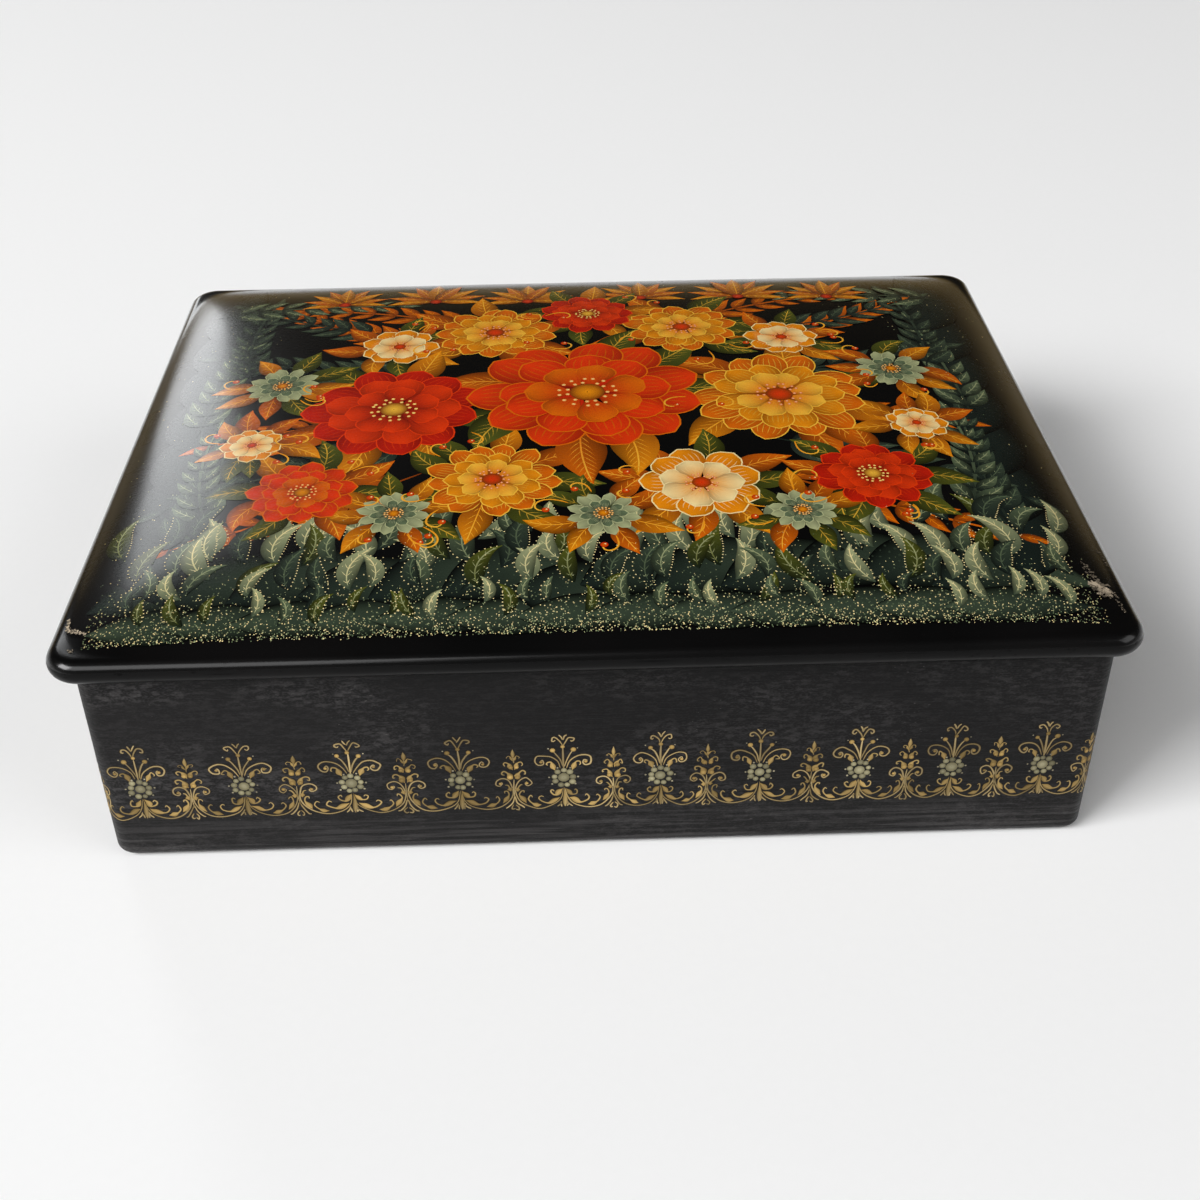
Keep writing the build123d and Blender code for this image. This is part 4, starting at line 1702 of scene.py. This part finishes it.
@dataclass
class EdgeWear:
    """Places at the dome's near corners where the lacquer has worn to the pale board."""

    lid: Lid
    steps: int = 14
    clear: int = 14
    least: float = 0.1
    growth: float = 0.3
    ragged: tuple[float, float] = (0.4, 1.4)
    scatter: float = 0.55
    taper: float = 0.35
    smallness: float = 2.2
    bareness: float = 0.8
    seed: int = 31
    tones: tuple[Colour, Colour] = (swatch(214, 196, 170), swatch(50, 45, 38))

    # Each trail: its points, how far it spreads, how many specks it has and how bare they are
    TRAILS = (
        (((-97.3, -65.8), (-96.3, -69.6), (-92.6, -71.9)), 0.55, 110, 1.0),
        (((-95.4, -75.2), (-94.9, -75.6), (-94.4, -75.8)), 0.4, 14, 0.7),
        (((92.8, -64.4), (93.9, -66.0), (94.7, -67.6)), 1.9, 190, 0.9),
        (((92.4, -58.0), (93.3, -61.4), (93.8, -64.4)), 0.9, 60, 0.3),
        (((95.4, -66.0), (96.5, -68.6), (96.8, -72.0)), 0.5, 40, 0.4),
        (((97.4, -51.5), (97.8, -54.0), (98.0, -57.0)), 0.4, 24, 0.3),
    )

    def build(self, worn: bpy.types.Material) -> bpy.types.Object:
        """Lays the ragged patches.

        Args:
            worn: Their finish.

        Returns:
            The worn places, as one piece.
        """
        rng = np.random.default_rng(self.seed)
        work = Brushwork("edge_wear", DomeGround(self.lid), tuple(self.lid.half))
        work.depth += self.clear
        for corners, spread, count, pale in self.TRAILS:
            for part, centre in zip(np.linspace(0.0, 1.0, count), through(corners, count)):
                reach = spread * (self.taper + (1 - self.taper) * math.sin(math.pi * part))
                size = self.least + self.growth * reach * rng.uniform() ** self.smallness
                bare = pale * rng.uniform() ** self.bareness
                rim = size * rng.uniform(*self.ragged, self.steps + 1)
                rim[-1] = rim[0]
                limit = self.lid.half - self.lid.edge_inset - self.ragged[1] * size
                place = np.clip(centre + rng.normal(0, self.scatter, 2) * reach, -limit, limit)
                tone = tuple(bare * worn_to + (1 - bare) * dull for worn_to, dull in zip(*self.tones))
                work.dab(place, rim, Shade(tone, tone), self.steps)
        return work.finish(worn, Body.LID)


@dataclass
class CarriedPieces:
    """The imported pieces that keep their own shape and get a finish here."""

    collars: tuple[str, ...] = ("collar_front", "collar_left", "collar_right")
    nails: tuple[str, ...] = ("body_leaf_nails", "lid_leaf_nails")

    def dress(self, red: bpy.types.Material, brass: bpy.types.Material) -> list[bpy.types.Object]:
        """Gives the collars their lacquer and the hinges their brass.

        Args:
            red: The collars' finish.
            brass: The finish of leaves, pins and nails.

        Returns:
            The dressed pieces.
        """
        hinges = [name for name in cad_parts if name.startswith("hinge_")]
        dressed = []
        for names, material in ((self.collars, red), ((*hinges, *self.nails), brass)):
            for name in names:
                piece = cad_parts[name]
                piece.data.materials.clear()
                piece.data.materials.append(material)
                dressed.append(piece)
        return dressed


# The studio


@dataclass
class Studio:
    """A pale floor, the camera at the photograph's place, soft lamps and the room round them.

    The strongest lamp is on the left, weaker ones are in front and on the right, and a window is behind.
    """

    camera_at: tuple[float, float, float] = (-4.9, -304.3, 223.2)
    pitch: float = 35.55
    yaw: float = 1.32
    roll: float = -0.69
    focal_pixels: float = 1585.0
    frame_pixels: float = 1200.0
    sensor: float = 36.0
    nearest: float = 10.0
    floor_half: float = 3200.0
    floor_drop: float = 0.02
    side_wall: Colour = (0.6, 0.6, 0.6)
    back_wall: Colour = (0.31, 0.22, 0.09)
    overhead: Colour = (0.02, 0.02, 0.02)
    fill: Colour = (0.14, 0.14, 0.14)

    # Each lamp: its name, place, size, power and tint
    LAMPS = (
        ("left", (-3300, -1900, 2900), (2400, 2000), 228.0, (1.0, 1.0, 1.0)),
        ("front", (-1518, -2979, 3010), (2300, 2100), 56.0, (1.0, 1.0, 1.0)),
        ("right", (3200, -1600, 2600), (3000, 2400), 46.0, (1.0, 1.0, 1.0)),
        ("window", (-1372, 2813, 1328), (620, 1500), 12.5, (0.96, 0.98, 1.0)),
    )

    def build(self) -> None:
        """Sets up camera, floor, lamps, world and view."""
        self.make_camera()
        self.make_floor()
        for lamp in self.LAMPS:
            self.hang(*lamp)
        self.make_world()
        bpy.context.scene.view_settings.view_transform = "Standard"

    def make_camera(self) -> None:
        """Places the camera: turned by its yaw, tipped by its pitch, then rolled."""
        lens = bpy.data.cameras.new("camera")
        lens.sensor_width = self.sensor
        lens.lens = self.sensor * self.focal_pixels / self.frame_pixels
        lens.clip_start = self.nearest * MM
        camera = put("camera", lens)
        turn = Matrix.Rotation(-math.radians(self.yaw), 4, "Z")
        tip = Matrix.Rotation(math.radians(90 - self.pitch), 4, "X")
        tilt = Matrix.Rotation(math.radians(self.roll), 4, "Z")
        camera.matrix_world = Matrix.Translation(Vector(self.camera_at) * MM) @ turn @ tip @ tilt
        bpy.context.scene.camera = camera

    def make_floor(self) -> None:
        """Lays the floor under the box."""
        square = np.array([(-1, -1), (1, -1), (1, 1), (-1, 1)]) * self.floor_half
        points = np.column_stack([square, np.full(4, -self.floor_drop)])
        paper = PalePaper().build("pale_paper")
        floor = mesh_object("floor", points, [range(4)], [paper], [Face.OUTSIDE])

    def hang(self, name: str, place: Colour, size: tuple[float, float], power: float, tint: Colour) -> None:
        """Hangs one soft lamp that faces the box.

        Args:
            name: The lamp's name.
            place: Its place in millimetres.
            size: Its width and height in millimetres.
            power: Its power in watts.
            tint: Its colour.
        """
        light = bpy.data.lights.new(name, "AREA")
        light.shape = "RECTANGLE"
        light.size, light.size_y = (side * MM for side in size)
        light.energy = power
        light.color = tint
        lamp = put(name, light)
        lamp.location = Vector(place) * MM
        lamp.rotation_euler = (-lamp.location).to_track_quat("-Z", "Y").to_euler()

    def make_world(self) -> None:
        """Fills in from the front, with pale walls at both sides and a dim warm room behind the box."""
        sky = Sky("studio")
        back, up = sky.heading()
        front = (0.5 - 0.5 * back).power(2.0)
        low = 1.0 - (up * up).band(0.0, 0.08)
        wall = sky.mix(back.band(0.5, 0.8), self.side_wall, self.back_wall)
        room = sky.mix(low, self.overhead, wall)
        bpy.context.scene.world = sky.close({"Color": sky.mix(front, room, self.fill)})


def main() -> None:
    """Builds every piece in order and reports it."""
    logging.basicConfig(level=logging.INFO, format="%(name)s %(message)s")
    gloss = GlossLacquer().build("gloss_black_lacquer")
    satin = SatinLacquer().build("satin_black_lacquer")
    red = RedLacquer().build("cinnabar_lacquer")
    brass = DulledBrass().build("dulled_brass")
    lid = Lid()
    rubbed = GlossLacquer(coat=0.3, coat_roughness=0.3).build("rubbed_black_lacquer")
    pieces = [lid.build(gloss, rubbed, red)]
    paint = LaidPaint(roughness=0.21, wear=0.1).build("egg_paint")
    pieces += Garland(lid).build(paint)
    worn = LaidPaint(roughness=0.7, coat=0.05).build("worn_board")
    pieces.append(EdgeWear(lid).build(worn))
    walls = Walls()
    pieces += walls.build(satin, red)
    gold = LaidPaint(metallic=0.25, roughness=0.45, coat=0.1).build("shell_gold")
    pieces += Frieze(walls).build(gold)
    pieces += CarriedPieces().dress(red, brass)
    Studio().build()
    for piece in pieces:
        log.info("%s: %d faces", piece.name, len(piece.data.polygons))


if __name__ == "__main__":
    main()
